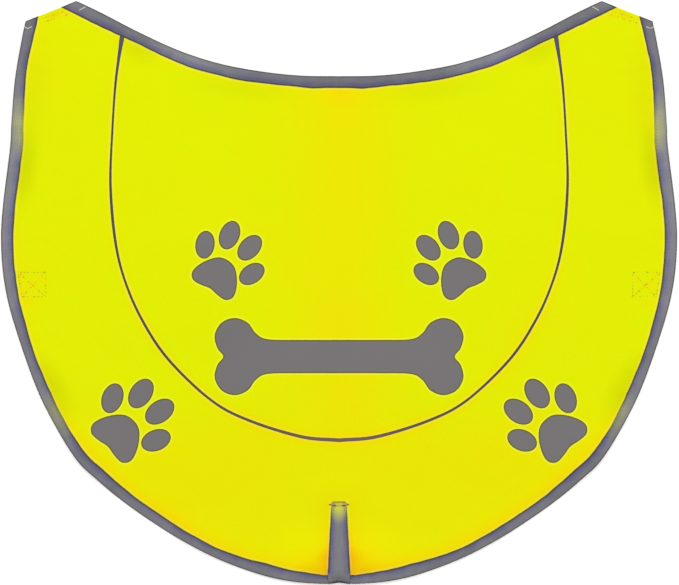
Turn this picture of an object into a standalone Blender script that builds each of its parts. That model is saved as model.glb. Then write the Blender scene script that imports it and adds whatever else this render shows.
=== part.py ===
"""Dog safety vest, laid flat with its outer face up.

The tables are in millimetres and the model is in metres. x runs across the vest, y runs towards the neck
and z is up. The origin is on the surface that the vest lies on, under the middle of its outline.

The vest is cut from a back panel and a border panel. They meet at a piped seam. Folded tape binds the
neck, the hem and the two edges of the tail vent. Two belly straps and two chest tabs are sewn to the
underside and lie folded in beneath the cloth.
"""

import math

import bpy
import numpy as np
from mathutils import Vector
from mathutils.geometry import delaunay_2d_cdt

MM = 0.001

# Thicknesses and clearances
CLOTH = 1.0
TAPE = 1.0
STRAP = 1.2
HOOK_TAPE = 1.0
GAP = 0.3

# Binding: tape folded over the cut edge of the cloth
FOLD_WALL = 1.2
FOLD_CHAMFER = 1.0
EDGE_INSET = FOLD_WALL + GAP
BINDING_DROP = TAPE + GAP

# Piping: a thin covered cord that stands up out of the seam
PIPING_WIDTH = 2.4
PIPING_PROUD = 0.9
PIPING_FLUSH = 12.5
PIPING_FULL = 15.5
PIPING_START = 2.6

# Length over which the sections of a binding turn to the line that its end is cut on
SLANT_FADE = 25.0

# Tail vent: a slit whose two bound edges meet on the centre line
VENT_TOP = -177.0
VENT_GAP = 0.2
VENT_WIDTH_TOP = 6.6
VENT_WIDTH_FOOT = 9.8

# Straps and tabs under the cloth
STRAP_WIDTH = 25.0
STRAP_LENGTH = 160.0
STRAP_OUTER_END = 268.0
STRAP_Y = 6.7
HOOK_LENGTH = 50.0
HOOK_SET_BACK = 3.0
TAB_WIDTH = 44.0
TAB_LENGTH = 60.0
TAB_SET_BACK = 1.0

# Spacing of the points along the edges and over the cloth
EDGE_STEP = 8.0
CLOTH_STEP = 14.0
STRAP_STEP = 12.0

# How the cloth comes down from the folded edge, or from a strap, to the surface that it lies on
EDGE_LEVEL = 14.0
EDGE_RAMP = 16.0
PAD_MARGIN = 14.0
PAD_RAMP = 28.0

# Right half of the hem, from the outer corner of the shoulder tip to the foot of the vent
HEM_ROWS = (
    # x, y
    (264.0, 228.2),
    (267.3, 212.6),
    (273.2, 179.0),
    (276.4, 141.0),
    (279.2, 109.0),
    (283.3, 73.7),
    (285.0, 44.2),
    (282.5, 10.5),
    (274.9, -23.2),
    (257.7, -73.7),
    (242.1, -107.4),
    (221.5, -140.5),
    (204.2, -157.6),
    (184.0, -174.7),
    (160.4, -191.6),
    (133.5, -208.4),
    (100.6, -225.2),
    (67.8, -237.3),
    (40.0, -243.4),
    (15.0, -245.5),
    (VENT_GAP, -244.8),
)

# Right half of the neck edge, from the centre to the inner corner of the shoulder tip
NECK_ROWS = (
    # x, y
    (0.0, 182.3),
    (32.8, 182.9),
    (66.5, 186.5),
    (100.2, 192.8),
    (133.9, 203.6),
    (167.6, 218.9),
    (201.0, 236.0),
    (221.0, 245.5),
)

# Width of the folded tape on the hem. It is sewn by eye, so it varies
HEM_TAPE_ROWS = (
    # distance from the shoulder tip, width
    (0.0, 9.9),
    (36.0, 8.7),
    (72.0, 9.9),
    (143.0, 10.6),
    (215.0, 10.4),
    (286.0, 8.7),
    (322.0, 9.2),
    (358.0, 8.6),
    (406.0, 10.1),
    (477.0, 8.9),
    (525.0, 8.6),
    (572.0, 10.6),
    (636.0, 9.2),
)

# Width of the folded tape on the neck edge
NECK_TAPE_ROWS = (
    # distance from the centre line, width
    (0.0, 9.9),
    (21.0, 10.4),
    (42.0, 9.3),
    (85.0, 10.3),
    (127.0, 10.4),
    (169.0, 8.7),
    (212.0, 10.6),
    (234.0, 10.0),
)

# Right half of the piped seam, from the bottom of the back panel up to the neck edge
SEAM_ROWS = (
    # x, y
    (0.0, -124.6),
    (32.0, -121.2),
    (75.8, -107.4),
    (107.4, -90.5),
    (143.6, -56.8),
    (165.9, -23.2),
    (180.6, 10.5),
    (188.2, 44.2),
    (192.3, 90.0),
    (191.2, 135.0),
    (187.9, 180.0),
    (181.2, 226.2),
)

# Soft swells of the laid cloth. Each is an oval that falls smoothly to nothing at its rim
SWELL_ROWS = (
    # x, y, half length, half width, turn in degrees, height
    (0.0, 60.0, 170.0, 42.0, 90.0, 1.5),
    (30.0, -238.0, 62.0, 56.0, 0.0, 3.0),
    (-30.0, -238.0, 62.0, 56.0, 0.0, 2.8),
    (262.0, 245.0, 84.0, 64.0, 110.0, 3.0),
    (-262.0, 245.0, 84.0, 64.0, 70.0, 2.6),
    (276.0, 136.0, 62.0, 42.0, 85.0, 2.2),
    (-277.0, 128.0, 58.0, 42.0, 95.0, 2.4),
    (224.0, -150.0, 72.0, 50.0, 130.0, 3.2),
    (-222.0, -152.0, 68.0, 50.0, 50.0, 3.0),
    (122.0, -222.0, 60.0, 44.0, 150.0, 2.0),
    (-118.0, -224.0, 62.0, 44.0, 30.0, 2.3),
    (92.0, 178.0, 52.0, 46.0, 20.0, 1.8),
    (-98.0, 180.0, 54.0, 46.0, 160.0, 1.6),
    (118.0, 78.0, 86.0, 54.0, 120.0, 2.2),
    (-112.0, 72.0, 88.0, 54.0, 60.0, 2.0),
    (-62.0, -74.0, 70.0, 46.0, 25.0, 1.5),
    (70.0, -70.0, 70.0, 46.0, 150.0, 1.7),
    (236.0, 66.0, 60.0, 40.0, 95.0, 1.4),
    (-234.0, -66.0, 64.0, 40.0, 115.0, 1.6),
    (232.0, -70.0, 64.0, 40.0, 65.0, 1.4),
)


def smooth_curve(rows, step):
    """Points about step apart on a smooth curve through the rows."""
    corners = np.array(rows, float)
    padded = np.vstack((2 * corners[0] - corners[1], corners, 2 * corners[-1] - corners[-2]))
    dense = []
    for before, start, end, after in zip(padded, padded[1:], padded[2:], padded[3:]):
        for t in np.arange(0.0, 1.0, 0.02):
            dense.append(
                0.5
                * (
                    2 * start
                    + (end - before) * t
                    + (2 * before - 5 * start + 4 * end - after) * t**2
                    + (3 * start - before - 3 * end + after) * t**3
                )
            )
    dense.append(corners[-1])
    return even_points(np.array(dense), step)


def along(curve):
    """Distance of each point from the start of a curve."""
    return np.concatenate(([0.0], np.cumsum(np.linalg.norm(np.diff(curve, axis=0), axis=1))))


def points_at(curve, distances):
    """Points of a curve at the given distances from its start."""
    travelled = along(curve)
    return np.column_stack([np.interp(distances, travelled, curve[:, axis]) for axis in (0, 1)])


def even_points(curve, step):
    """The same curve with its points spread evenly, about step apart."""
    length = along(curve)[-1]
    return points_at(curve, np.linspace(0.0, length, max(2, round(length / step) + 1)))


def directions(curve):
    """Unit vector along the curve at each of its points."""
    run = np.gradient(curve, axis=0)
    return run / np.linalg.norm(run, axis=1, keepdims=True)


def to_the_right(run):
    """The vectors turned a quarter turn clockwise."""
    return np.column_stack((run[:, 1], -run[:, 0]))


def offset(curve, distance):
    """The curve moved sideways, to the right of its direction."""
    return curve + distance * to_the_right(directions(curve))


def mirrored(curve):
    """The curve on the other side of the centre line."""
    return curve * np.array((-1.0, 1.0))


def both_halves(right_half):
    """A whole curve from left to right, from its right half that starts on the centre line."""
    return np.vstack((mirrored(right_half)[:0:-1], right_half))


def crossing(first, second):
    """Where two polylines cross: the point, and the numbers of the two segments that meet there."""
    for i, (a, b) in enumerate(zip(first, first[1:])):
        for j, (c, d) in enumerate(zip(second, second[1:])):
            matrix = np.column_stack((b - a, c - d))
            if abs(np.linalg.det(matrix)) < 1e-9:
                continue
            share, other = np.linalg.solve(matrix, c - a)
            if 0 <= share <= 1 and 0 <= other <= 1:
                return a + share * (b - a), i, j
    raise ValueError("the two edges don't cross")


HEM = smooth_curve(HEM_ROWS, EDGE_STEP)
NECK = both_halves(smooth_curve(NECK_ROWS, EDGE_STEP))
SEAM = both_halves(smooth_curve(SEAM_ROWS, EDGE_STEP))
VENT = np.array(((0.0, HEM[-1][1]), (0.0, VENT_TOP)))

TIP_OUTER = np.array(HEM_ROWS[0])
TIP_INNER = np.array(NECK_ROWS[-1])
TIP_RUN = (TIP_OUTER - TIP_INNER) / np.linalg.norm(TIP_OUTER - TIP_INNER)
TIP_INWARD = np.array((TIP_RUN[1], -TIP_RUN[0]))


def distance_to(curve, points):
    """Shortest distance from each point to a polyline."""
    nearest = np.full(len(points), np.inf)
    for start, end in zip(curve, curve[1:]):
        run = end - start
        share = np.clip((points - start) @ run / (run @ run), 0.0, 1.0)
        away = np.linalg.norm(points - start - share[:, None] * run, axis=1)
        nearest = np.minimum(nearest, away)
    return nearest


def falling(distance, ramp):
    """1 up to distance zero, then smoothly down to 0 over the ramp."""
    share = np.clip(distance / ramp, 0.0, 1.0)
    return 1.0 - share * share * (3.0 - 2.0 * share)


def tab_frame(side):
    """Middle of a chest tab's sewn end, the direction in under the cloth, and the direction across."""
    flip = np.array((side, 1.0))
    middle = (TIP_OUTER + TIP_INNER) / 2 + TAB_SET_BACK * TIP_INWARD
    return middle * flip, TIP_INWARD * flip, TIP_RUN * flip


def pads():
    """What lies under the cloth: centre, half length, half width, direction and height it holds up."""
    found = []
    for side in (1.0, -1.0):
        strap_middle = np.array((side * (STRAP_OUTER_END - STRAP_LENGTH / 2), STRAP_Y))
        found.append((strap_middle, STRAP_LENGTH / 2, STRAP_WIDTH / 2, np.array((1.0, 0.0)), STRAP + GAP))
        middle, inward, _ = tab_frame(side)
        centre = middle + inward * TAB_LENGTH / 2
        found.append((centre, TAB_LENGTH / 2, TAB_WIDTH / 2, inward, STRAP + GAP + BINDING_DROP))
    hook_rise = STRAP + HOOK_TAPE + 2 * GAP
    found.append((hook_middle(), HOOK_LENGTH / 2, STRAP_WIDTH / 2, np.array((1.0, 0.0)), hook_rise))
    return found


def hook_middle():
    """Middle of the hook patch, near the free end of the left strap."""
    free_end = STRAP_OUTER_END - STRAP_LENGTH
    return np.array((-(free_end + HOOK_SET_BACK + HOOK_LENGTH / 2), STRAP_Y))


def swell(points):
    """Height of the soft swells, which lift every layer together."""
    height = np.zeros(len(points))
    for x, y, half_length, half_width, turn, rise in SWELL_ROWS:
        angle = math.radians(turn)
        away = points - np.array((x, y))
        lengthways = away @ np.array((math.cos(angle), math.sin(angle))) / half_length
        sideways = away @ np.array((-math.sin(angle), math.cos(angle))) / half_width
        inside = np.clip(1.0 - lengthways**2 - sideways**2, 0.0, None)
        height += rise * inside**2
    return height


def level(points):
    """Height of the cloth's underside over the flat layers beneath it: folded tape, straps and tabs."""
    bound = np.minimum.reduce([distance_to(c, points) for c in (HEM, mirrored(HEM), NECK, VENT)])
    height = BINDING_DROP * falling(bound - EDGE_LEVEL, EDGE_RAMP)
    for centre, half_length, half_width, run, rise in pads():
        away = points - centre
        past_end = np.abs(away @ run) - half_length - PAD_MARGIN
        past_side = np.abs(away @ np.array((-run[1], run[0]))) - half_width - PAD_MARGIN
        held = rise * falling(past_end, PAD_RAMP) * falling(past_side, PAD_RAMP)
        height = np.maximum(height, held)
    return height


def underside(points):
    """Height of the cloth's underside above the surface that the vest lies on."""
    return level(points) + swell(points)


def material(name, colour, roughness):
    """A plain cloth finish."""
    made = bpy.data.materials.new(name)
    made.use_nodes = True
    shader = made.node_tree.nodes["Principled BSDF"]
    shader.inputs["Base Color"].default_value = (*colour, 1.0)
    shader.inputs["Roughness"].default_value = roughness
    shader.inputs["Metallic"].default_value = 0.0
    return made


def add_solid(name, corners, faces, finish):
    """One object from corners in millimetres."""
    mesh = bpy.data.meshes.new(name)
    mesh.from_pydata([Vector(corner) * MM for corner in corners], [], faces)
    mesh.materials.append(finish)
    mesh.shade_smooth()
    mesh.set_sharp_from_angle(angle=math.radians(40))
    mesh.validate()
    bpy.context.scene.collection.objects.link(bpy.data.objects.new(name, mesh))


def well_inside(points, outline, clearance):
    """The points that are inside a closed outline and clear of its edge."""
    closed = np.vstack((outline, outline[:1]))
    inside = np.zeros(len(points), bool)
    for (ax, ay), (bx, by) in zip(closed, closed[1:]):
        spans = (ay > points[:, 1]) != (by > points[:, 1])
        rise = by - ay if by != ay else 1.0
        inside ^= spans & (points[:, 0] < (bx - ax) * (points[:, 1] - ay) / rise + ax)
    return points[inside & (distance_to(closed, points) > clearance)]


def inner_points(outline, guides, step):
    """The points of the guide rows inside an outline, and a grid with equal triangles between them."""
    low, high = outline.min(axis=0), outline.max(axis=0)
    rows = np.arange(low[1], high[1], step * math.sqrt(0.75))
    grid = [
        (x, y)
        for number, y in enumerate(rows)
        for x in np.arange(low[0] + step / 2 * (number % 2), high[0], step)
    ]
    grid = well_inside(np.array(grid), outline, 0.5 * step)
    for guide in guides:
        grid = grid[distance_to(guide, grid) > 0.5 * step]
    kept = [well_inside(guide, outline, 0.2 * step) for guide in guides]
    return np.vstack(kept + [grid])


def cut_piece(name, outline, guides, step, thickness, bottom, finish):
    """A flat piece cut to an outline, with its lower face at bottom(points)."""
    inner = inner_points(outline, guides, step)
    plan = [Vector(point) for point in np.vstack((outline, inner))]
    found, _, triangles, *_ = delaunay_2d_cdt(plan, [], [list(range(len(outline)))], 1, 1e-5)
    points = np.array([tuple(point) for point in found])
    low = bottom(points)
    corners = [(x, y, z) for (x, y), z in zip(points, low)]
    corners += [(x, y, z + thickness) for (x, y), z in zip(points, low)]
    count = len(points)
    faces, rim = [], {}
    for a, b, c in triangles:
        faces += [(c, b, a), (a + count, b + count, c + count)]
        for start, end in ((a, b), (b, c), (c, a)):
            if (end, start) in rim:
                del rim[(end, start)]
            else:
                rim[(start, end)] = True
    faces += [(start, end, end + count, start + count) for start, end in rim]
    add_solid(name, corners, faces, finish)


def swept_piece(name, rings, bottom, finish):
    """A tape or cord through rings of (x, y, height over the cloth's underside)."""
    size = len(rings[0])
    flat = np.vstack(rings)
    heights = flat[:, 2] + bottom(flat[:, :2])
    corners = np.column_stack((flat[:, :2], heights))
    faces = [tuple(reversed(range(size)))]
    for ring in range(len(rings) - 1):
        start = ring * size
        for k in range(size):
            following = (k + 1) % size
            faces.append((start + k, start + following, start + size + following, start + size + k))
    faces.append(tuple(range(len(flat) - size, len(flat))))
    if volume(corners, faces) < 0:
        faces = [face[::-1] for face in faces]
    add_solid(name, corners, faces, finish)


def volume(corners, faces):
    """Volume inside the faces, below zero if they point inwards."""
    total = 0.0
    for face in faces:
        for second, third in zip(face[1:], face[2:]):
            total += corners[face[0]] @ np.cross(corners[second], corners[third])
    return total / 6.0


def binding_section(width):
    """Folded tape seen from its end: distance in from the fold, and height over the cloth's underside."""
    low, high = -BINDING_DROP, CLOTH + BINDING_DROP
    return (
        (width, low),
        (FOLD_CHAMFER, low),
        (0.0, low + FOLD_CHAMFER),
        (0.0, high - FOLD_CHAMFER),
        (FOLD_CHAMFER, high),
        (width, high),
        (width, high - TAPE),
        (FOLD_WALL, high - TAPE),
        (FOLD_WALL, low + TAPE),
        (width, low + TAPE),
    )


def cut_slant(run, cut):
    """Slide along the edge for each millimetre inwards that makes the tape's end lie along cut."""
    inward = np.array((run[1], -run[0]))
    return (cut @ run) / (cut @ inward)


def bound_inward(curve, start_cut, end_cut):
    """Direction in from each point of a bound edge, turned at both ends to the tape's cut."""
    runs = directions(curve)
    travelled = along(curve)
    at_start = cut_slant(runs[0], start_cut) * np.clip(1 - travelled / SLANT_FADE, 0, 1) ** 2
    left_over = travelled[-1] - travelled
    at_end = cut_slant(runs[-1], end_cut) * np.clip(1 - left_over / SLANT_FADE, 0, 1) ** 2
    return to_the_right(runs) + (at_start + at_end)[:, None] * runs


def tape_widths(rows, distances):
    """Width of the folded tape at the given distances."""
    table = np.array(rows)
    return np.interp(distances, table[:, 0], table[:, 1])


def binding_rings(curve, inward, widths):
    """Rings of folded tape along an edge."""
    return [
        [(*(point + depth * way), height) for depth, height in binding_section(width)]
        for point, way, width in zip(curve, inward, widths)
    ]


def flipped(rings):
    """The rings on the other side of the centre line."""
    return [[(-x, y, z) for x, y, z in ring] for ring in rings]


def vent_rings(hem_inner):
    """Rings of folded tape up the right edge of the vent, from the hem binding to the top of the slit."""
    rings = []
    shares = np.linspace(0.0, 1.0, 8)
    for share in shares:
        width = VENT_WIDTH_FOOT + (VENT_WIDTH_TOP - VENT_WIDTH_FOOT) * share
        ring = []
        for depth, height in binding_section(width):
            x = VENT_GAP + depth
            foot = np.interp(x, hem_inner[:, 0], hem_inner[:, 1]) + GAP
            ring.append((x, foot + (VENT_TOP - foot) * share, height))
        rings.append(ring)
    return rings


def piping_rings():
    """Rings of the covered cord along the seam, flush with the cloth under the neck binding."""
    length = along(SEAM)[-1]
    half = PIPING_WIDTH / 2
    from_end = np.concatenate(([PIPING_START, PIPING_FLUSH], np.arange(PIPING_FULL, length / 2, EDGE_STEP)))
    stations = np.concatenate((from_end, length - from_end[::-1]))
    centres = points_at(SEAM, stations)
    fine = even_points(SEAM, 1.0)
    outward = to_the_right(directions(fine))
    rings = []
    for station, centre in zip(stations, centres):
        normal = outward[round(station / length * (len(fine) - 1))]
        proud = PIPING_PROUD if min(station, length - station) > PIPING_FLUSH else 0.0
        shoulder = CLOTH + proud / 3
        section = (
            (-half, 0.0),
            (half, 0.0),
            (half, shoulder - GAP * (proud == 0.0)),
            (half / 2, CLOTH + proud),
            (-half / 2, CLOTH + proud),
            (-half, shoulder - GAP * (proud == 0.0)),
        )
        rings.append([(*(centre + side * normal), height) for side, height in section])
    return rings


def back_outline(neck_in, seam_in):
    """Outline of the back panel: the neck edge, then down and up the inside of the piping."""
    right_corner, neck_end, seam_end = crossing(neck_in, seam_in[len(seam_in) // 2 :])
    seam_end += len(seam_in) // 2
    left_corner = right_corner * np.array((-1.0, 1.0))
    top = neck_in[len(neck_in) - 1 - neck_end : neck_end + 1]
    side = seam_in[len(seam_in) - 1 - seam_end : seam_end + 1][::-1]
    return np.vstack((left_corner, top, right_corner, side))


def border_outline(neck_in, seam_out, hem_in):
    """Outline of the border panel: shoulder tips, hem, slot of the vent, and outside of the piping."""
    middle = len(seam_out) // 2
    seam_corner, neck_start, seam_end = crossing(neck_in, seam_out[middle:])
    tip_edge = neck_in[-1] + np.linspace(0.0, 1.0, 6)[1:-1, None] * (hem_in[0] - neck_in[-1])
    slot_edge = VENT_GAP + EDGE_INSET
    slot_foot = np.array((slot_edge, np.interp(slot_edge, hem_in[::-1, 0], hem_in[::-1, 1])))
    slot_end = np.array((slot_edge, VENT_TOP + GAP))
    slot = slot_foot + np.linspace(0.0, 1.0, 8)[:, None] * (slot_end - slot_foot)
    hem_run = hem_in[hem_in[:, 0] > slot_edge + 1.0]
    right = np.vstack((seam_corner, neck_in[neck_start + 1 :], tip_edge, hem_run, slot))
    left = mirrored(right)[::-1]
    seam_run = seam_out[len(seam_out) - 1 - (middle + seam_end) : middle + seam_end + 1]
    return np.vstack((right, left, seam_run))


def strap_outline(side):
    """Belly strap with its sewn end near the hem and its free end under the back panel."""
    inner, outer = STRAP_OUTER_END - STRAP_LENGTH, STRAP_OUTER_END
    steps = np.linspace(inner, outer, round(STRAP_LENGTH / STRAP_STEP) + 1)
    low = [(side * x, STRAP_Y - STRAP_WIDTH / 2) for x in steps]
    high = [(side * x, STRAP_Y + STRAP_WIDTH / 2) for x in steps[::-1]]
    return np.array(low + high)


def hook_outline():
    """Hook patch, as wide as the strap that it lies on."""
    centre = hook_middle()
    steps = np.linspace(-HOOK_LENGTH / 2, HOOK_LENGTH / 2, 5)
    low = [centre + np.array((x, -STRAP_WIDTH / 2)) for x in steps]
    high = [centre + np.array((x, STRAP_WIDTH / 2)) for x in steps[::-1]]
    return np.array(low + high)


def tab_outline(side):
    """Chest tab with its sewn end along the edge of the shoulder tip."""
    middle, inward, across = tab_frame(side)
    wide = np.linspace(-TAB_WIDTH / 2, TAB_WIDTH / 2, 5)
    deep = np.linspace(0.0, TAB_LENGTH, 6)
    top = [middle + w * across for w in wide]
    far_side = [middle + wide[-1] * across + d * inward for d in deep[1:]]
    foot = [middle + w * across + deep[-1] * inward for w in wide[-2::-1]]
    near_side = [middle + wide[0] * across + d * inward for d in deep[-2:0:-1]]
    return np.array(top + far_side + foot + near_side)


def build():
    """The whole vest."""
    for old in list(bpy.data.objects):
        bpy.data.objects.remove(old)

    yellow = material("hi_vis_knit", (0.72, 0.86, 0.0), 0.75)
    grey = material("reflective_tape", (0.24, 0.24, 0.27), 0.45)
    strap_yellow = material("strap_webbing", (0.66, 0.76, 0.02), 0.85)
    hook_yellow = material("hook_tape", (0.52, 0.6, 0.03), 0.9)

    hem_inward = bound_inward(HEM, -TIP_RUN, np.array((0.0, 1.0)))
    neck_inward = bound_inward(NECK, -TIP_RUN * np.array((-1.0, 1.0)), TIP_RUN)
    hem_in = HEM + EDGE_INSET * hem_inward
    neck_in = NECK + EDGE_INSET * neck_inward
    hem_widths = tape_widths(HEM_TAPE_ROWS, along(HEM))
    neck_widths = tape_widths(NECK_TAPE_ROWS, abs(along(NECK) - along(NECK)[-1] / 2))
    hem_guide = HEM + hem_widths[:, None] * hem_inward
    neck_guide = NECK + neck_widths[:, None] * neck_inward
    seam_side = PIPING_WIDTH / 2 + GAP
    seam_in = offset(SEAM, -seam_side)
    seam_out = offset(SEAM, seam_side)

    back = back_outline(neck_in, seam_in)
    border = border_outline(neck_in, seam_out, hem_in)
    border_guides = (hem_guide, mirrored(hem_guide), neck_guide)
    cut_piece("back_panel", back, (neck_guide,), CLOTH_STEP, CLOTH, underside, yellow)
    cut_piece("border_panel", border, border_guides, CLOTH_STEP, CLOTH, underside, yellow)
    swept_piece("seam_piping", piping_rings(), underside, grey)

    hem_rings = binding_rings(HEM, hem_inward, hem_widths)
    vent_rings_right = vent_rings(hem_guide[::-1])
    swept_piece("neck_binding", binding_rings(NECK, neck_inward, neck_widths), underside, grey)
    swept_piece("hem_binding_right", hem_rings, underside, grey)
    swept_piece("hem_binding_left", flipped(hem_rings), underside, grey)
    swept_piece("vent_binding_right", vent_rings_right, underside, grey)
    swept_piece("vent_binding_left", flipped(vent_rings_right), underside, grey)

    def on_strap(points):
        return swell(points) + STRAP + GAP

    cut_piece("belly_strap_right", strap_outline(1.0), (), STRAP_STEP, STRAP, swell, strap_yellow)
    cut_piece("belly_strap_left", strap_outline(-1.0), (), STRAP_STEP, STRAP, swell, strap_yellow)
    cut_piece("belly_hook_patch", hook_outline(), (), STRAP_STEP, HOOK_TAPE, on_strap, hook_yellow)
    cut_piece("chest_tab_right", tab_outline(1.0), (), STRAP_STEP, STRAP, swell, strap_yellow)
    cut_piece("chest_tab_left", tab_outline(-1.0), (), STRAP_STEP, STRAP, swell, hook_yellow)


build()
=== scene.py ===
"""Dog safety vest, laid flat with its outer face up: its cloth, tape, straps, sewing and prints.

The tables and the geometry are in millimetres and the meshes in metres. x runs across the vest, y runs
towards the neck and z is up from the surface that the vest lies on.
"""

import math

import bpy
import numpy as np
from bpy.props import FloatProperty, FloatVectorProperty, PointerProperty
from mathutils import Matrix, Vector
from mathutils.geometry import delaunay_2d_cdt
from mathutils.kdtree import KDTree


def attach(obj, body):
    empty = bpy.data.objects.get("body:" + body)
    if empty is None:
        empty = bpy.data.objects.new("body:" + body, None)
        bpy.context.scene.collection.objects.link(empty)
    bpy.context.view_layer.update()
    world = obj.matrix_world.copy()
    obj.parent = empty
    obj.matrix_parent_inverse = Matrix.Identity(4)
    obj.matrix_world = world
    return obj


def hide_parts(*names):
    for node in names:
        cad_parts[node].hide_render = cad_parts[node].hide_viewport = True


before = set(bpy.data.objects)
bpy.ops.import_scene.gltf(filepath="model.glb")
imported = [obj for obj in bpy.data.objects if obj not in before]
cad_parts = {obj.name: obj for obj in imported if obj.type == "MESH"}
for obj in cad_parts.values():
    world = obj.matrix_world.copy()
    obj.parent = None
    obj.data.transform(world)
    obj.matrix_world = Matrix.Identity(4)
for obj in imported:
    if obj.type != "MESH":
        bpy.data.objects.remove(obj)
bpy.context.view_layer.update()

bl_info = {
    "name": "Dog safety vest",
    "blender": (4, 5, 0),
    "version": (1, 0, 0),
    "location": "3D View > Sidebar > Vest",
    "description": "Cuts, binds, sews and prints a dog's high-visibility vest laid flat",
    "category": "Object",
}

MM = 0.001

# Layers under the cloth: the lower leg of the folded tape, the straps and tabs, and the hook patch
TAPE_DROP = 0.8
STRAP = 0.9
HOOK_TAPE = 0.7
GAP = 0.1

# Tail vent
VENT_TOP = -176.2
VENT_GAP = 0.2
VENT_FOLD = 0.04
VENT_WIDTH_TOP = 6.3
VENT_WIDTH_FOOT = 9.3

# Straps and tabs under the cloth
STRAP_WIDTH = 25.0
STRAP_LENGTH = 160.0
STRAP_OUTER_END = 268.0
STRAP_Y = 6.7
HOOK_LENGTH = 50.0
HOOK_SET_BACK = 3.0
TAB_WIDTH = 44.0
TAB_LENGTH = 60.0
TAB_SET_BACK = 1.0

# How the cloth comes down from the folded edge, or from a strap, to the surface that it lies on
EDGE_LEVEL = 14.0
EDGE_RAMP = 16.0
PAD_MARGIN = 14.0
PAD_RAMP = 42.0
SLANT_FADE = 25.0

# How far up the foot of the vent's tape lies over the hem's tape
VENT_LAP = 9.4

# The panels' cut edges: in from the folded edge, and out from the middle of the seam
PANEL_INSET = 1.2
SEAM_HALF = 0.6

# Box and cross of stitches that hold the right belly strap
BOX_INNER = 247.4
BOX_OUTER_TOP = 270.6
BOX_OUTER_LOW = 267.4
BOX_LOW = -3.6
BOX_HIGH = 17.0

# Seam of the piping: from its end to the end of the piping, and half the width of what is sewn in
PIPING_CUT = 3.0
STEM_HALF = 0.45

# How far in from a sewn edge the puckers are highest
PUCKER_PEAK = 11.0

# Stitches of the straps, from one to the next, and the film's height over the cloth
STRAP_PITCH = 2.7
FILM_GAP = 0.06

# Spacing of the points of the hidden straps and of the prints
STRAP_STEP = 3.0
PRINT_STEP = 2.0

# Points inside a cut piece: how clear they stay of its outline and of the rows along its seams, as parts
# of their spacing, how clear the rows stay of the outline, and how near two points of a row may be
GRID_CLEAR = 0.55
ROW_CLEAR = 0.6
OUTLINE_CLEAR = 0.4
ROW_CELL = 0.7

# Lowest height of a tape or the piping, and the angle in degrees of an edge that shows as sharp
LOWEST = 0.02
SHARP_ANGLE = 40.0

# The stage, in metres: half the floor's side, its drop, the light's width and place, and the camera's x
FLOOR_HALF = 3.0
FLOOR_DROP = 0.0002
LIGHT_WIDTH = 2.2
LIGHT_PLACE = (0.0, 0.9, 2.4)
CAMERA_X = 0.0004

# Width of the camera's sensor, in millimetres
SENSOR = 36.0

WHITE = (1.0, 1.0, 1.0, 1.0)
SIDES = ((1.0, "right"), (-1.0, "left"))

# Right half of the hem, from the outer corner of the shoulder tip to the foot of the vent
HEM_ROWS = (
    # x, y
    (264, 228.2), (267.3, 212.6), (273.2, 179), (276, 143), (276.4, 131), (277.2, 121), (279, 107),
    (283.3, 73.7), (285, 44.2), (282.5, 10.5), (274.9, -23.2), (257.7, -73.7), (242.1, -107.4),
    (221.5, -140.5), (204.2, -157.6), (184, -174.7), (160.4, -191.6), (133.5, -208.4), (100.6, -225.2),
    (67.8, -237.3), (40, -243.4), (13, -245.4), (5, -244.2), (VENT_GAP, -243.9),
)

# Right half of the neck edge, from the centre to the inner corner of the shoulder tip
NECK_ROWS = (
    # x, y
    (0, 182.3), (32.8, 182.9), (66.5, 186.5), (100.2, 192.8), (133.9, 203.6), (167.6, 218.9),
    (201, 236), (221, 245.5),
)

# Width of the folded tape on the hem, and how light it is. It is sewn by eye, so it varies
HEM_TAPE_ROWS = (
    # distance from the shoulder tip, width, shade
    (0, 9.9, 0.84), (36, 8.6, 0.84), (72, 9.9, 1.1), (100, 10.8, 1.1), (143, 10.6, 1.09),
    (215, 10.4, 1.02), (286, 8.7, 0.87), (322, 9.7, 0.98), (358, 8.9, 0.92), (390, 9.9, 0.77),
    (406, 10.1, 0.8), (440, 9.1, 0.85), (477, 8.9, 0.82), (525, 8.1, 0.81), (550, 9, 0.82),
    (572, 10.5, 0.87), (603, 9.2, 0.88), (624, 7.2, 0.8), (636, 7, 0.8),
)

# Width of the folded tape on the neck edge, and how light it is
NECK_TAPE_ROWS = (
    # distance from the centre line, width, shade
    (0, 9.9, 0.77), (21, 10.4, 0.76), (42, 9.3, 0.75), (85, 10.1, 0.78), (107, 9.8, 1.04),
    (127, 10.3, 1.12), (148, 9.6, 1), (169, 9.1, 0.82), (197, 10.3, 0.76), (212, 10.9, 0.82),
    (234, 10.3, 0.88),
)

# Right half of the piped seam, from the bottom of the back panel up to the neck edge
SEAM_ROWS = (
    # x, y
    (0, -124.6), (32.1, -121.5), (76, -107.8), (107.8, -90.8), (143.6, -56.8), (165.9, -23.2),
    (180.6, 10.5), (188.7, 44.2), (192.7, 90), (191.2, 135), (187.9, 180), (181.2, 226.2),
)

# Width of the piping, how strongly its painted highlight shows, and how blue. It is widest where it runs
# out from under the neck binding
PIPING_ROWS = (
    # distance from its end, width, highlight, blue
    (0, 4, 0, 0.9), (14, 3.9, 0, 0.9), (18, 3.4, 0, 0.8), (24, 2.9, 0, 0.55), (32, 2.4, 0, 0.75),
    (40, 2.1, 0, 0.3), (50, 1.9, 0, 0), (70, 1.65, 0.1, 0), (110, 1.75, 0.1, 0), (160, 2.4, 0.1, 0.3),
    (190, 2.1, 0.1, 0), (220, 1.85, 0.2, 0), (280, 2.2, 0.2, 0), (340, 2, 0.3, 0), (400, 2.4, 0.6, 0),
    (440, 2.9, 1, 0), (460, 3.2, 1, 0),
)

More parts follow.
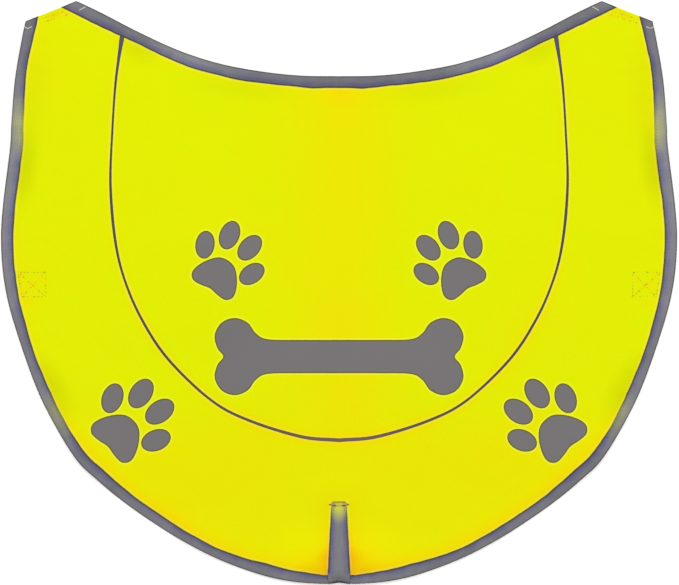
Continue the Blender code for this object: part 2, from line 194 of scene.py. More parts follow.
# Soft swells of the laid cloth. Each is an oval that falls smoothly to nothing at its rim
SWELL_ROWS = (
    # x, y, half length, half width, turn in degrees, height
    (0, 60, 170, 42, 90, 1.5), (30, -238, 62, 56, 0, 3), (-30, -238, 62, 56, 0, 2.8),
    (262, 245, 84, 64, 110, 3), (-262, 245, 84, 64, 70, 2.6), (276, 136, 62, 42, 85, 2.2),
    (-277, 128, 58, 42, 95, 2.4), (224, -150, 72, 50, 130, 3.2), (-222, -152, 68, 50, 50, 3),
    (122, -222, 60, 44, 150, 2), (-118, -224, 62, 44, 30, 2.3), (92, 178, 52, 46, 20, 1.8),
    (-98, 180, 54, 46, 160, 1.6), (118, 78, 86, 54, 120, 2.2), (-112, 72, 88, 54, 60, 2),
    (-62, -74, 70, 46, 25, 1.5), (70, -70, 70, 46, 150, 1.7), (236, 66, 60, 40, 95, 1.4),
    (-234, -66, 64, 40, 115, 1.6), (232, -70, 64, 40, 65, 1.4),
)

# Long soft creases of the panels: ridges, or troughs where the height is below zero
CREASE_ROWS = (
    # x, y, half length, half width, turn in degrees, height
    (-113, 109, 66, 4.5, 0, 0.3), (128, 109, 52, 4.5, 2, 0.3), (-86, 135, 42, 4, 4, 0.26),
    (92, 134, 34, 4, -4, 0.24), (-140, 74, 30, 4.5, 3, 0.22), (136, 76, 28, 4.5, -3, 0.2),
    (-159, 155, 26, 4.5, 30, 0.24), (161, 152, 24, 4.5, -32, 0.24), (-251, 47, 26, 4.5, 14, 0.3),
    (236, 49, 44, 4.5, -10, 0.3), (-226, 20, 40, 6, 6, -0.2), (-215, -58, 34, 6, 20, 0.24),
    (206, -52, 32, 6, -16, 0.22), (-174, -78, 22, 6, 38, -0.22), (-28, -180, 22, 3.4, 4, 0.3),
    (27, -181, 21, 3.4, -6, 0.3), (-24, -188, 17, 3, 14, -0.24), (24, -187, 18, 3, -12, -0.24),
    (-30, -209, 26, 15, 20, 0.5), (32, -209, 26, 15, -20, 0.5), (0, -158, 5, 22, 0, 0.3),
    (-128, -176, 44, 7, -34, 0.26), (136, -172, 40, 7, 32, 0.26), (-2, 96, 92, 6, 91, 0.22),
    (-252, 188, 30, 7, 78, 0.3), (252, 186, 32, 7, 102, 0.3),
)


def both_sides(*rows):
    """The rows of ovals, and their mirror images on the other side of the centre line."""
    return rows + tuple((-x, y, length, width, -turn, rise) for x, y, length, width, turn, rise in rows if x)


# Where the cloth looks darker, or lighter where the strength is below zero
SHADE_ROWS = both_sides(
    # x, y, half length, half width, turn in degrees, strength
    (266, 106, 46, 16, 95, 0.16), (259, 158, 70, 22, 96, 0.05), (242, -80, 42, 18, 62, 0.14),
    (0, -184, 34, 26, 0, 0.04), (0, -174.8, 10, 2.6, 0, -0.06), (17, -238, 22, 18, 0, 0.05),
    (240, 233.4, 9, 4, -20, 0.08), (80, 172, 64, 15, 8, 0.05), (170, 205, 26, 16, 25, 0.1),
    (32, -210, 30, 22, -10, -0.04),
)

# Where the cloth looks more golden: painted light and shade of the puckers round the stitches at the shoulder
# tips and the strap's box, and painted shade under the neck tape
WARM_ROWS = both_sides(
    # x, y, half length, half width, turn in degrees, strength
    (241.9, 232.6, 8, 4, -20, 0.42), (234.9, 236.5, 6, 3.4, -20, 0.36), (229.5, 234.5, 8, 4, -24, 0.26),
    (259.6, 6, 6, 5, 0, 0.35), (267, 13, 5, 4, 0, 0.3), (266.5, -1, 5, 5, 0, 0.3),
    (250.5, 12, 5, 4, 0, 0.22), (261, -9, 9, 4, 0, 0.28), (0, 168, 26, 20, 0, 0.2),
)

# Places where the tape takes a yellow-green tint from the cloth: painted light bounced from the fluorescent
# knit
BOUNCE_LIGHT_ROWS = both_sides(
    # x, y, half length, half width, turn in degrees, strength
    (0, -176, 21, 10.5, 90, 1.15), (268.6, 139, 34, 11, 86, 0.42), (237, -104, 26, 11, 60, 0.3),
)

# Rows of stitches that hold the chest tab, on the right shoulder tip
TIP_STITCH_ROWS = (
    # from x, from y, to x, to y
    (247.7, 231.6, 233.1, 236.2), (251.6, 226.7, 227.1, 234.7), (244.5, 234.2, 233.8, 238),
)

# Ends of thread that cross the tape, on the right shoulder tip
TIP_THREAD_ROWS = (
    # from x, from y, over x, over y, to x, to y
    (264.6, 223.9, 262.2, 222.4, 258.9, 223.7), (218.5, 237.8, 216.3, 239.1, 213.8, 240.4),
)

# Threads of the bar tack at the top of the vent, on the right half: the pale loops round the needle
# holes, and the golden run between them
TACK_ROWS = (
    # from x, from y, to x, to y
    (2.6, -178.2, 6.2, -178.5), (4.8, -178.9, 6.3, -179.2), (2.7, -180.4, 5.7, -180.6),
)

# Dark spots of painted shade: in the needle holes of the bar tack and at the corners of the vent's foot, on
# the right half
SPOT_ROWS = (
    # from x, from y, to x, to y, height over the cloth's underside, width
    (2.9, -179.6, 5.1, -179.6, 1.85, 1.1), (6.2, -178.7, 7.9, -178.7, 1.5, 1.2),
    (0.3, -179.9, 2.4, -179.8, 1.85, 0.35), (9.9, -238.3, 12.6, -238.1, 1.5, 1),
    (9.4, -239.6, 9.6, -241.2, 2, 0.8),
)

# Section of the folded tape. Its depth in from the fold is a part of its width and a length more. Its
# height is over the cloth's underside (0), over the cloth (1) or over the cloth and one layer of tape (2).
# It runs from the inner edge on top, round the fold, to the inner edge beneath, and back on the inside.
TAPE_TOP_ROWS = (
    # part of the width, length more, over, height, height where it is pressed flat over the hem's tape
    (1, 0, 2, -0.12, 0.3), (1, -0.2, 2, 0.04, 0.3), (1, -0.8, 2, 0.12, 0.3), (1, -1.5, 2, 0.06, 0.3),
    (1, -2.1, 2, -0.04, 0.3), (1, -2.8, 2, 0.16, 0.3), (0.58, 0, 2, 0.4, 0.3), (0.4, 0, 2, 0.48, 0.3),
)
ROUND_FOLD_ROWS = (
    # as above, for a fold on an open edge
    (0.2, 0, 2, 0.5, 0.3), (0, 1.1, 2, 0.42, 0.3), (0, 0.4, 2, 0.12, 0.3), (0, 0.05, 2, -0.45, 0.26),
    (0, 0, 0, 0.1, 0.05),
)
SQUARE_FOLD_ROWS = (
    # as above, for a fold that is pressed square, where two tapes meet
    (0.25, 0, 2, 0.42, 0.3), (0, 0.9, 2, 0.44, 0.3), (0, 0.06, 2, 0.43, 0.3), (0, 0, 2, 0.37, 0.26),
    (0, 0, 0, 0.1, 0.05),
)
TAPE_UNDER_ROWS = (
    # as above, beneath and then back on the inside
    (0, 0.25, 0, -0.3, 0), (0, 0.9, 0, -0.6, 0), (0.3, 0, 0, -0.66, 0), (0.6, 0, 0, -0.64, 0),
    (1, 0, 0, -0.6, 0), (1, 0, 0, -0.08, 0.1), (0.6, 0, 0, -0.12, 0.1), (0.3, 0, 0, -0.18, 0.1),
    (0, 0.9, 0, -0.18, 0.1), (0, 0.6, 0, 0.2, 0.15), (0, 0.8, 1, 0.25, 0.2), (0.3, 0, 1, 0.34, 0.2),
    (0.6, 0, 1, 0.26, 0.2), (1, -2.1, 1, 0.03, 0.2), (1, 0, 1, 0.03, 0.2),
)

# How the vent's tape turns down over the fold of the hem's tape
TURN_ROWS = (
    # in from the hem's edge, height over the cloth's underside, lean of its face in degrees
    (-0.15, 0.2, 90), (-0.15, 0.9, 84), (0.15, 1.5, 50), (0.75, 1.84, 22), (1.3, 1.88, 10),
    (1.8, 1.9, 4), (2.4, 1.9, 0),
)

# Shade of the vent's tape on the centre line, above the hem's edge
FOOT_SHADE_ROWS = (
    # distance up, shade
    (-0.6, 0.02), (0.7, 0.04), (1.4, 0.3), (2.2, 0.72), (3.9, 0.62), (6.2, 0.84), (12, 0.93), (70, 1),
)

# Right half of the pad of a paw print, with the toes towards +y
PAD_ROWS = (
    # x, y
    (0, 19), (7.6, 17.2), (14.2, 10.6), (19, 2), (20.2, -5.4), (16, -10.4), (8.2, -10.4), (0, -9),
)

# Right toes of a paw print
TOE_ROWS = (
    # x, y, half width, half length, lean outwards in degrees
    (10, 37.8, 8.4, 12.5, 10), (23.2, 20, 8.1, 11.8, 24),
)

# Right paw prints
PAW_ROWS = (
    # x, y, turn in degrees, scale
    (103.8, 11, 32, 1), (188, -122.7, 44, 1.1),
)

# Top right quarter of the bone print
BONE_ROWS = (
    # x, y
    (0, 14), (32, 14), (60, 14.6), (70, 19.5), (77, 28.5), (88, 32.5), (99, 28.5), (104.8, 18),
    (102.5, 7), (97.5, 0),
)
BONE_Y = -54.0

# Threads, and what else is made as beads like theirs: name of the colour, name of the material
THREADS = (
    ("grey", "Grey thread"), ("yellow", "Yellow thread"), ("pale", "Pale thread"), ("tack", "Tack thread"),
    ("cream", "Cream thread"), ("hole", "Needle hole"), ("spot", "Dark spot"),
)

# Wiring of the stitches, from an output of one node to an input of another. A figure stands for a socket
# whose name is shared
STITCH_LINKS = (
    "start.Geometry curve.Mesh", "curve.Curve spots.Curve", "start.Pitch spots.Length",
    "spots.Tangent lay.Vector", "start.Length size.X", "start.Width size.Y", "start.Height size.Z",
    "spots.Points place.Points", "bead.Mesh place.Instance", "lay.Rotation place.Rotation",
    "start.Smallest uneven.2", "size.Vector scaled.0", "uneven.1 scaled.Scale", "scaled.Vector place.Scale",
    "place.Instances smooth.Geometry", "smooth.Geometry solid.Geometry", "solid.Geometry finish.Geometry",
    "start.Material finish.Material", "finish.Geometry out.Geometry",
)


def amount(name, description, default, **extra):
    """A plain number of the scene's settings. Sizes are in millimetres."""
    return FloatProperty(name=name, description=description, default=default, **extra)


def tint(name, description, default):
    """A colour of the scene's settings."""
    return FloatVectorProperty(name=name, description=description, subtype="COLOR", default=default)


class VestCloth(bpy.types.PropertyGroup):
    """Sizes and colours of the knit panels, the piping and the straps."""

    thickness: amount("Knit thickness", "Thickness of the knit", 0.7, min=0.3)
    mesh_step: amount("Mesh step", "Spacing of the points of the cloth", 3)
    edge_step: amount("Edge step", "Spacing of the points of an edge", 2)
    pucker: amount("Pucker", "Height of the puckers along the seams", 0.34)
    knit_colour: tint("Knit", "Colour of the knit", (0.682, 0.777, 0))
    # The warm and golden knit stand for the orange of the knit in shade: painted shade by its edges and folds
    warm_colour: tint("Warm knit", "Colour of the knit by its edges", (0.86, 0.42, 0))
    # The pale and peach knit are a painted highlight beside tape, piping and prints
    pale_colour: tint("Pale knit", "Colour of the knit pulled tight beside a seam", (0.82, 0.82, 0.055))
    golden_colour: tint("Golden knit", "Colour of the knit between its own and the warm one", (0.84, 0.66, 0))
    peach_colour: tint("Peach knit", "Colour of warm knit pulled tight beside a seam", (0.84, 0.5, 0.13))
    piping_colour: tint("Piping", "Colour of the piping", (0.092, 0.07, 0.058))
    # A painted highlight where light catches the cord, strongest towards the bottom of the seam
    highlight_colour: tint("Faded piping", "Colour of the piping where it is faded", (0.172, 0.1, 0.064))
    blue_colour: tint("Blue piping", "Colour of the piping by the neck", (0.088, 0.085, 0.125))
    strap_colour: tint("Strap", "Colour of the straps", (0.6, 0.68, 0.01))
    hook_colour: tint("Hook tape", "Colour of the hook tape", (0.5, 0.57, 0.02))


class VestTape(bpy.types.PropertyGroup):
    """Sizes and colours of the reflective tape and its stitches."""

    thickness: amount("Tape thickness", "Thickness of the tape", 0.5)
    stitch_inset: amount("Stitch inset", "From the tape's edge to its stitches", 2.1)
    stitch_pitch: amount("Stitch pitch", "From one stitch to the next", 2.9)
    colour: tint("Tape", "Colour of the tape", (0.172, 0.168, 0.186))
    blue_colour: tint("Blue edge", "Colour of the inner third of the tape", (0.128, 0.124, 0.23))
    # Painted shade along the rounded fold, and a painted shadow along the inner edge
    fold_shade_colour: tint("Dark fold", "Colour of the tape along its fold", (0.062, 0.06, 0.062))
    edge_shadow_colour: tint("Dark edge", "Colour of the tape along its inner edge", (0.07, 0.056, 0.034))
    # Painted light that the fluorescent cloth bounces onto the tape
    bounce_light_colour: tint("Glow", "Tint that the tape takes from the cloth", (0.57, 0.585, 0.034))
    # A painted shadow on the turned top end of the vent's tape, above the bar tack
    end_shadow_colour: tint("Olive end", "Colour of the turned end at the top of the vent", (0.34, 0.275, 0))


class VestSewing(bpy.types.PropertyGroup):
    """Sizes and colours of the visible stitches."""

    thread_radius: amount("Thread radius", "Half the thickness of the thread", 0.19)
    yellow_colour: tint("Yellow thread", "Colour of the thread on the cloth", (0.74, 0.68, 0))
    grey_colour: tint("Grey thread", "Colour of the thread on the tape", (0.1, 0.09, 0.15))
    pale_colour: tint("Pale thread", "Colour of the bar tack's thread", (0.52, 0.4, 0.2))
    tack_colour: tint("Tack thread", "Colour of the middle of the bar tack", (0.68, 0.6, 0.11))
    cream_colour: tint("Cream thread", "Colour of the loose ends of thread", (0.6, 0.59, 0.46))
    # Painted shade in the dimple round each needle hole
    hole_colour: tint("Needle hole", "Colour round a needle hole", (0.55, 0.5, 0))
    # Painted shade in the bar tack's needle holes and at the corners of the vent's foot
    spot_colour: tint("Dark spot", "Colour of the dark spots by the vent", (0.09, 0.062, 0.008))


class VestPrints(bpy.types.PropertyGroup):
    """Size and colour of the pressed film prints."""

    thickness: amount("Film thickness", "Thickness of the film", 0.12)
    colour: tint("Film", "Colour of the film", (0.156, 0.145, 0.148))
    rim_colour: tint("Film rim", "Colour of the film along its cut edge", (0.115, 0.1, 0))


class VestStage(bpy.types.PropertyGroup):
    """Camera and lights."""

    frame_width: amount("Frame width", "Width that the picture takes in", 572.7)
    camera_height: amount("Camera height", "Height of the camera", 2600)
    world: amount("World", "Strength of the light from all round", 0.82)
    key: amount("Key", "Power of the large light, in watts", 25.5, unit="POWER")


def settings():
    """The settings of the scene, by group."""
    scene = bpy.context.scene
    return scene.vest_cloth, scene.vest_tape, scene.vest_sewing, scene.vest_prints, scene.vest_stage


# Curves


def along(curve):
    """Distance of each point from the start of a curve."""
    return np.concatenate(([0.0], np.cumsum(np.linalg.norm(np.diff(curve, axis=0), axis=1))))


def read_at(places, travelled, values):
    """Rows of values, which are given along a curve, at other places along it."""
    return np.column_stack([np.interp(places, travelled, column) for column in values.T])


def from_middle(curve):
    """Distance of each point of a curve from its middle."""
    travelled = along(curve)
    return np.abs(travelled - travelled[-1] / 2)


def even_points(curve, step):
    """The same curve with its points spread evenly, about step apart."""
    travelled = along(curve)
    count = max(2, round(travelled[-1] / step) + 1)
    return read_at(np.linspace(0.0, travelled[-1], count), travelled, curve)


def smooth_curve(rows, step, closed=False):
    """Points about step apart on a smooth curve through the rows."""
    corners = np.array(rows, float)
    if closed:
        padded = np.vstack((corners[-1], corners, corners[0], corners[1]))
    else:
        padded = np.vstack((2 * corners[0] - corners[1], corners, 2 * corners[-1] - corners[-2]))
    dense = []
    for before, start, end, after in zip(padded, padded[1:], padded[2:], padded[3:]):
        for t in np.arange(0.0, 1.0, 0.02):
            bend = (2 * before - 5 * start + 4 * end - after) * t**2
            bend += (3 * start - before - 3 * end + after) * t**3
            dense.append(0.5 * (2 * start + (end - before) * t + bend))
    dense.append(padded[-2])
    curve = even_points(np.array(dense), step)
    return curve[:-1] if closed else curve


def directions(curve):
    """Unit vector along the curve at each of its points."""
    run = np.gradient(curve, axis=0)
    return run / np.linalg.norm(run, axis=1, keepdims=True)


def to_the_right(run):
    """The vectors turned a quarter turn clockwise."""
    return np.column_stack((run[:, 1], -run[:, 0]))


def offset(curve, distance):
    """The curve moved sideways, to the right of its direction."""
    return curve + np.reshape(distance, (-1, 1)) * to_the_right(directions(curve))


def mirrored(curve):
    """The curve on the other side of the centre line."""
    return curve * np.array((-1.0, 1.0))


def both_halves(right_half):
    """A whole curve from left to right, from its right half that starts on the centre line."""
    return np.vstack((mirrored(right_half)[:0:-1], right_half))


def turned(points, degrees):
    """The points turned clockwise."""
    angle = math.radians(-degrees)
    return points @ np.array(((math.cos(angle), math.sin(angle)), (-math.sin(angle), math.cos(angle))))


def crossing(first, second):
    """Where two polylines cross: the point, and the numbers of the two segments that meet there."""
    for i, (a, b) in enumerate(zip(first, first[1:])):
        for j, (c, d) in enumerate(zip(second, second[1:])):
            if np.linalg.norm(a - c) > 60.0:
                continue
            matrix = np.column_stack((b - a, c - d))
            if abs(np.linalg.det(matrix)) < 1e-9:
                continue
            share, other = np.linalg.solve(matrix, c - a)
            if 0 <= share <= 1 and 0 <= other <= 1:
                return a + share * (b - a), i, j
    raise ValueError("the two edges don't cross")


def nearest_on(curve, points):
    """How far each point is from a polyline, and how far along it the nearest spot is."""
    travelled = along(curve)
    away = np.full(len(points), np.inf)
    where = np.zeros(len(points))
    for number, (start, end) in enumerate(zip(curve, curve[1:])):
        run = end - start
        share = np.clip((points - start) @ run / (run @ run), 0.0, 1.0)
        here = np.linalg.norm(points - start - share[:, None] * run, axis=1)
        closer = here < away
        away[closer] = here[closer]
        where[closer] = travelled[number] + share[closer] * (travelled[number + 1] - travelled[number])
    return away, where


def bound_inward(curve, start_cut, end_cut):
    """Direction in from each point of a bound edge, turned at both ends to the tape's cut."""
    runs = directions(curve)
    inward = to_the_right(runs)
    travelled = along(curve)
    slant = np.zeros(len(curve))
    for cut, end, distance in ((start_cut, 0, travelled), (end_cut, -1, travelled[-1] - travelled)):
        slant += (cut @ runs[end]) / (cut @ inward[end]) * np.clip(1 - distance / SLANT_FADE, 0, 1) ** 2
    return inward + slant[:, None] * runs


FLIPS = (np.array((1.0, 1.0)), np.array((-1.0, 1.0)))
TIP_OUTER = np.array(HEM_ROWS[0])
TIP_INNER = np.array(NECK_ROWS[-1])
TIP_RUN = (TIP_OUTER - TIP_INNER) / np.linalg.norm(TIP_OUTER - TIP_INNER)
TIP_INWARD = np.array((TIP_RUN[1], -TIP_RUN[0]))

# The edges with coarse points, for measuring the height of the cloth
COARSE = 8.0
HEM_COARSE = smooth_curve(HEM_ROWS, COARSE)
NECK_COARSE = both_halves(smooth_curve(NECK_ROWS, COARSE))
SEAM_COARSE = both_halves(smooth_curve(SEAM_ROWS, COARSE))
VENT_FOOT = HEM_COARSE[-1][1]
VENT_LINE = np.array(((0.0, VENT_FOOT), (0.0, VENT_TOP)))
OVER_HEM = VENT_FOOT + VENT_LAP


# Height of the cloth


def falling(distance, ramp):
    """1 up to distance zero, then smoothly down to 0 over the ramp."""
    share = np.clip(distance / ramp, 0.0, 1.0)
    return 1.0 - share * share * (3.0 - 2.0 * share)


def wander(distance, spacing, seed, count=4096):
    """A smooth random wave between -1 and 1, with a new value every spacing."""
    values = np.random.default_rng(seed).uniform(-1.0, 1.0, count)
    place = distance / spacing + count / 8
    whole = np.floor(place).astype(int)
    left = falling(place - whole, 1.0)
    return values[whole % count] * left + values[(whole + 1) % count] * (1.0 - left)


def bell(distance, reach, middle=0.0):
    """1 at the middle, and smoothly down on both sides of it."""
    return np.exp(-(((distance - middle) / reach) ** 2))


def strap_middle(side):
    """Middle of a belly strap."""
    return np.array((side * (STRAP_OUTER_END - STRAP_LENGTH / 2), STRAP_Y))


def tab_frame(side):
    """Middle of a chest tab, and its direction in under the cloth."""
    flip = np.array((side, 1.0))
    sewn_end = (TIP_OUTER + TIP_INNER) / 2 + TAB_SET_BACK * TIP_INWARD
    return (sewn_end + TIP_INWARD * TAB_LENGTH / 2) * flip, TIP_INWARD * flip


def hook_middle():
    """Middle of the hook patch, near the free end of the left strap."""
    free_end = STRAP_OUTER_END - STRAP_LENGTH
    return np.array((-(free_end + HOOK_SET_BACK + HOOK_LENGTH / 2), STRAP_Y))


def pads():
    """What lies under the cloth: centre, half length, half width, direction and height it holds up."""
    found = []
    across = np.array((1.0, 0.0))
    for side, _ in SIDES:
        found.append((strap_middle(side), STRAP_LENGTH / 2, STRAP_WIDTH / 2, across, STRAP + GAP))
        centre, inward = tab_frame(side)
        found.append((centre, TAB_LENGTH / 2, TAB_WIDTH / 2, inward, STRAP + GAP + TAPE_DROP))
    found.append((hook_middle(), HOOK_LENGTH / 2, STRAP_WIDTH / 2, across, STRAP + HOOK_TAPE + 2 * GAP))
    return found


def ovals(points, rows):
    """Height of oval swells or creases, which fall smoothly to nothing at their rims."""
    height = np.zeros(len(points))
    for x, y, half_length, half_width, turn, rise in rows:
        angle = math.radians(turn)
        away = points - np.array((x, y))
        lengthways = away @ np.array((math.cos(angle), math.sin(angle))) / half_length
        sideways = away @ np.array((-math.sin(angle), math.cos(angle))) / half_width
        height += rise * np.clip(1.0 - lengthways**2 - sideways**2, 0.0, None) ** 2
    return height


def swell(points):
    """Height of the soft swells, which lift every layer together."""
    return ovals(points, SWELL_ROWS)


def level(points, edge_distance):
    """Height of the cloth's underside over the flat layers beneath it: folded tape, straps and tabs."""
    height = TAPE_DROP * falling(edge_distance - EDGE_LEVEL, EDGE_RAMP)
    for centre, half_length, half_width, run, rise in pads():
        away = points - centre
        past_end = np.abs(away @ run) - half_length - PAD_MARGIN
        past_side = np.abs(away @ np.array((-run[1], run[0]))) - half_width - PAD_MARGIN
        height = np.maximum(height, rise * falling(past_end, PAD_RAMP) * falling(past_side, PAD_RAMP))
    return height


def vent_width(y):
    """Width of each tape of the vent."""
    share = np.clip((y - OVER_HEM) / (VENT_TOP - OVER_HEM), 0.0, 1.0)
    return VENT_WIDTH_FOOT + (VENT_WIDTH_TOP - VENT_WIDTH_FOOT) * share


def listed(table, places, column=1):
    """A column of a table, read between the rows at places in its first column."""
    rows = np.array(table)
    return np.interp(places, rows[:, 0], rows[:, column])


def past_tapes(points):
    """How far each point is from the inner edge of the nearest tape."""
    x, y = np.abs(points[:, 0]), points[:, 1]
    above = np.hypot(np.clip(x - VENT_WIDTH_TOP, 0.0, None), y - VENT_TOP)
    nearest = np.where(y < VENT_TOP, x - vent_width(y), above)
    for curve, table, middle in (
        (HEM_COARSE, HEM_TAPE_ROWS, 0.0),
        (mirrored(HEM_COARSE), HEM_TAPE_ROWS, 0.0),
        (NECK_COARSE, NECK_TAPE_ROWS, along(NECK_COARSE)[-1] / 2),
    ):
        away, where = nearest_on(curve, points)
        nearest = np.minimum(nearest, away - listed(table, np.abs(where - middle)))
    return nearest


def edges_near(points):
    """Distance to the nearest bound edge, and the puckers that all the sewn lines draw into the cloth."""
    nearest = np.full(len(points), np.inf)
    pucker = np.zeros(len(points))
    for curve, spacing, seed in (
        (HEM_COARSE, 8.5, 11), (mirrored(HEM_COARSE), 8.5, 23), (NECK_COARSE, 9.5, 37), (VENT_LINE, 7.0, 41)
    ):
        away, where = nearest_on(curve, points)
        nearest = np.minimum(nearest, away)
        wave = wander(where, spacing, seed) + 0.6 * wander(where, spacing * 0.45, seed + 1)
        reach = 9.0 + 7.0 * (wander(where, spacing * 3.0, seed + 2) + 1.0)
        near = np.where(away < PUCKER_PEAK, 0.35 + 0.65 * away / PUCKER_PEAK, 1.0)
        pucker += wave * bell(away, reach, PUCKER_PEAK) * near
    away, where = nearest_on(SEAM_COARSE, points)
    reach = 7.0 + 4.0 * (wander(where, 30.0, 53) + 1.0)
    return nearest, pucker + 0.8 * wander(where, 9.0, 51) * bell(away, reach)


def lie(points):
    """Height of the cloth's underside above the surface that the vest lies on."""
    cloth = settings()[0]
    nearest, pucker = edges_near(points)
    flat = level(points, nearest) + swell(points)
    relief = cloth.pucker * pucker + ovals(points, CREASE_ROWS)
    clear = np.clip(flat / 1.2, 0.0, 1.0)
    relief = np.where(relief < 0.0, relief * clear, relief)
    return np.clip(flat + relief, 0.0, None)


# Meshes


def outward(corners, faces):
    """The faces, turned round if they point inwards."""
    total = 0.0
    for face in faces:
        for second, third in zip(face[1:], face[2:]):
            total += corners[face[0]] @ np.cross(corners[second], corners[third])
    return faces if total > 0 else [tuple(face[::-1]) for face in faces]


def new_object(name, data):
    """An object of the scene for a mesh, a light or a camera."""
    made = bpy.data.objects.new(name, data)
    bpy.context.scene.collection.objects.link(made)
    return made


def add_piece(name, corners, faces, material, facts, uv):
    """One object from corners in millimetres, with named numbers and a UV place for each corner."""
    mesh = bpy.data.meshes.new(name)
    mesh.from_pydata([Vector(corner) * MM for corner in corners], [], faces)
    mesh.materials.append(material)
    mesh.shade_smooth()
    mesh.set_sharp_from_angle(angle=math.radians(SHARP_ANGLE))
    for key, values in facts.items():
        mesh.attributes.new(key, "FLOAT", "POINT").data.foreach_set("value", np.asarray(values, np.float32))
    corner_of = np.zeros(len(mesh.loops), np.int32)
    mesh.loops.foreach_get("vertex_index", corner_of)
    mesh.uv_layers.new(name="UVMap").data.foreach_set("uv", np.asarray(uv, np.float32)[corner_of].ravel())
    return new_object(name, mesh)


def finish_piece(piece, nodes=()):
    """Puts a piece of the vest under the root body and hides the solids that it stands for."""
    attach(piece, "root")
    if nodes:
        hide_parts(*nodes)
    return piece


def well_inside(points, outline, clearance):
    """The points that are inside a closed outline and clear of its edge."""
    closed = np.vstack((outline, outline[:1]))
    inside = np.zeros(len(points), bool)
    for (ax, ay), (bx, by) in zip(closed, closed[1:]):
        spans = (ay > points[:, 1]) != (by > points[:, 1])
        rise = by - ay if by != ay else 1.0
        inside ^= spans & (points[:, 0] < (bx - ax) * (points[:, 1] - ay) / rise + ax)
    kept = points[inside]
    return kept[nearest_on(closed, kept)[0] > clearance]


def thinned(points, cell):
    """The points without those that share a small cell with an earlier one."""
    kept = np.unique(np.round(points / cell), axis=0, return_index=True)[1]
    return points[np.sort(kept)]


def filled_plan(outline, step, guides=()):
    """Points and triangles that fill a closed outline: a regular grid, and rows along the guides."""
    low, high = outline.min(axis=0), outline.max(axis=0)
    rows = np.arange(low[1], high[1], step * math.sqrt(0.75))
    grid = [
        np.column_stack((columns, np.full(len(columns), y)))
        for number, y in enumerate(rows)
        for columns in [np.arange(low[0] + step / 2 * (number % 2), high[0], step)]
    ]
    inner = well_inside(np.vstack(grid), outline, GRID_CLEAR * step)
    if len(guides):
        rows = thinned(well_inside(np.vstack(guides), outline, OUTLINE_CLEAR), ROW_CELL)
        finder = KDTree(len(rows))
        for number, point in enumerate(rows):
            finder.insert((*point, 0.0), number)
        finder.balance()
        clear = [finder.find((*point, 0.0))[2] > ROW_CLEAR * step for point in inner]
        inner = np.vstack((rows, inner[clear]))
    plan = [Vector(point) for point in np.vstack((outline, inner))]
    found, _, triangles, *_ = delaunay_2d_cdt(plan, [], [list(range(len(outline)))], 1, 1e-6)
    return np.array([tuple(point) for point in found]), triangles


def cut_flat(outline, step, bottom, thickness, guides):
    """Corners and faces of a flat piece cut to an outline, with its lower face at bottom(points)."""
    points, triangles = filled_plan(outline, step, guides)
    low = bottom(points)
    count = len(points)
    rim = {}
    faces = []
    for a, b, c in triangles:
        faces += [(c, b, a), (a + count, b + count, c + count)]
        for start, end in ((a, b), (b, c), (c, a)):
            if (end, start) in rim:
                del rim[(end, start)]
            else:
                rim[(start, end)] = True
    faces += [(start, end, end + count, start + count) for start, end in rim]
    return np.vstack((np.column_stack((points, low)), np.column_stack((points, low + thickness)))), faces


def layer(name, outlines, step, bottom, thickness, material, facts=(), guides=()):
    """One piece from flat pieces cut to the outlines. Each fact has a name and a rule."""
    corners, faces = np.zeros((0, 3)), []
    for outline in outlines:
        points, triangles = cut_flat(outline, step, bottom, thickness, guides)
        faces += [tuple(len(corners) + corner for corner in face) for face in triangles]
        corners = np.vstack((corners, points))
    flat = corners[:, :2]
    values = {key: rule(flat) for key, rule in facts}
    return add_piece(name, corners, faces, material, values, flat * MM)


def ribbon(name, flat, height, run, around, material, **facts):
    """A tape or cord through rings of corners, closed at both ends, with the numbers its colour follows."""
    count, size = height.shape
    corners = np.dstack((flat, np.clip(height, LOWEST, None))).reshape(-1, 3)
    faces = [tuple(range(size))[::-1]]
    for start in range(0, (count - 1) * size, size):
        for k in range(size):
            following = start + (k + 1) % size
            faces.append((start + k, following, size + following, start + size + k))
    faces.append(tuple(range(len(corners) - size, len(corners))))
    uv = np.dstack([np.broadcast_to(part * MM, height.shape) for part in (run, around)]).reshape(-1, 2)
    values = {key: np.broadcast_to(part, height.shape).ravel() for key, part in facts.items()}
    return add_piece(name, corners, outward(corners, faces), material, values, uv)


# Materials


def node(tree, kind, **values):
    """A node of a tree, with properties by name and inputs by name with spaces as underscores."""
    made = tree.nodes.new(kind)
    for key, value in values.items():
        if hasattr(made, key):
            setattr(made, key, value)
        else:
            made.inputs[key.replace("_", " ")].default_value = value
    return made


def math_node(operation, first, second, clamp=False):
    """A sum of a socket with another socket or a number."""
    tree = first.id_data
    made = node(tree, "ShaderNodeMath", operation=operation, use_clamp=clamp)
    tree.links.new(first, made.inputs[0])
    if isinstance(second, float):
        made.inputs[1].default_value = second
    else:
        tree.links.new(second, made.inputs[1])
    return made.outputs[0]


def plus(first, second, clamp=False):
    """Two values added."""
    return math_node("ADD", first, second, clamp)


def times(first, second, clamp=False):
    """Two values multiplied."""
    return math_node("MULTIPLY", first, second, clamp)


def ramp_between(value, low, high):
    """0 where the value is at low, 1 at high, smooth between them."""
    made = node(value.id_data, "ShaderNodeMapRange", interpolation_type="SMOOTHSTEP", clamp=True)
    made.inputs["From Min"].default_value = low
    made.inputs["From Max"].default_value = high
    value.id_data.links.new(value, made.inputs["Value"])
    return made.outputs["Result"]


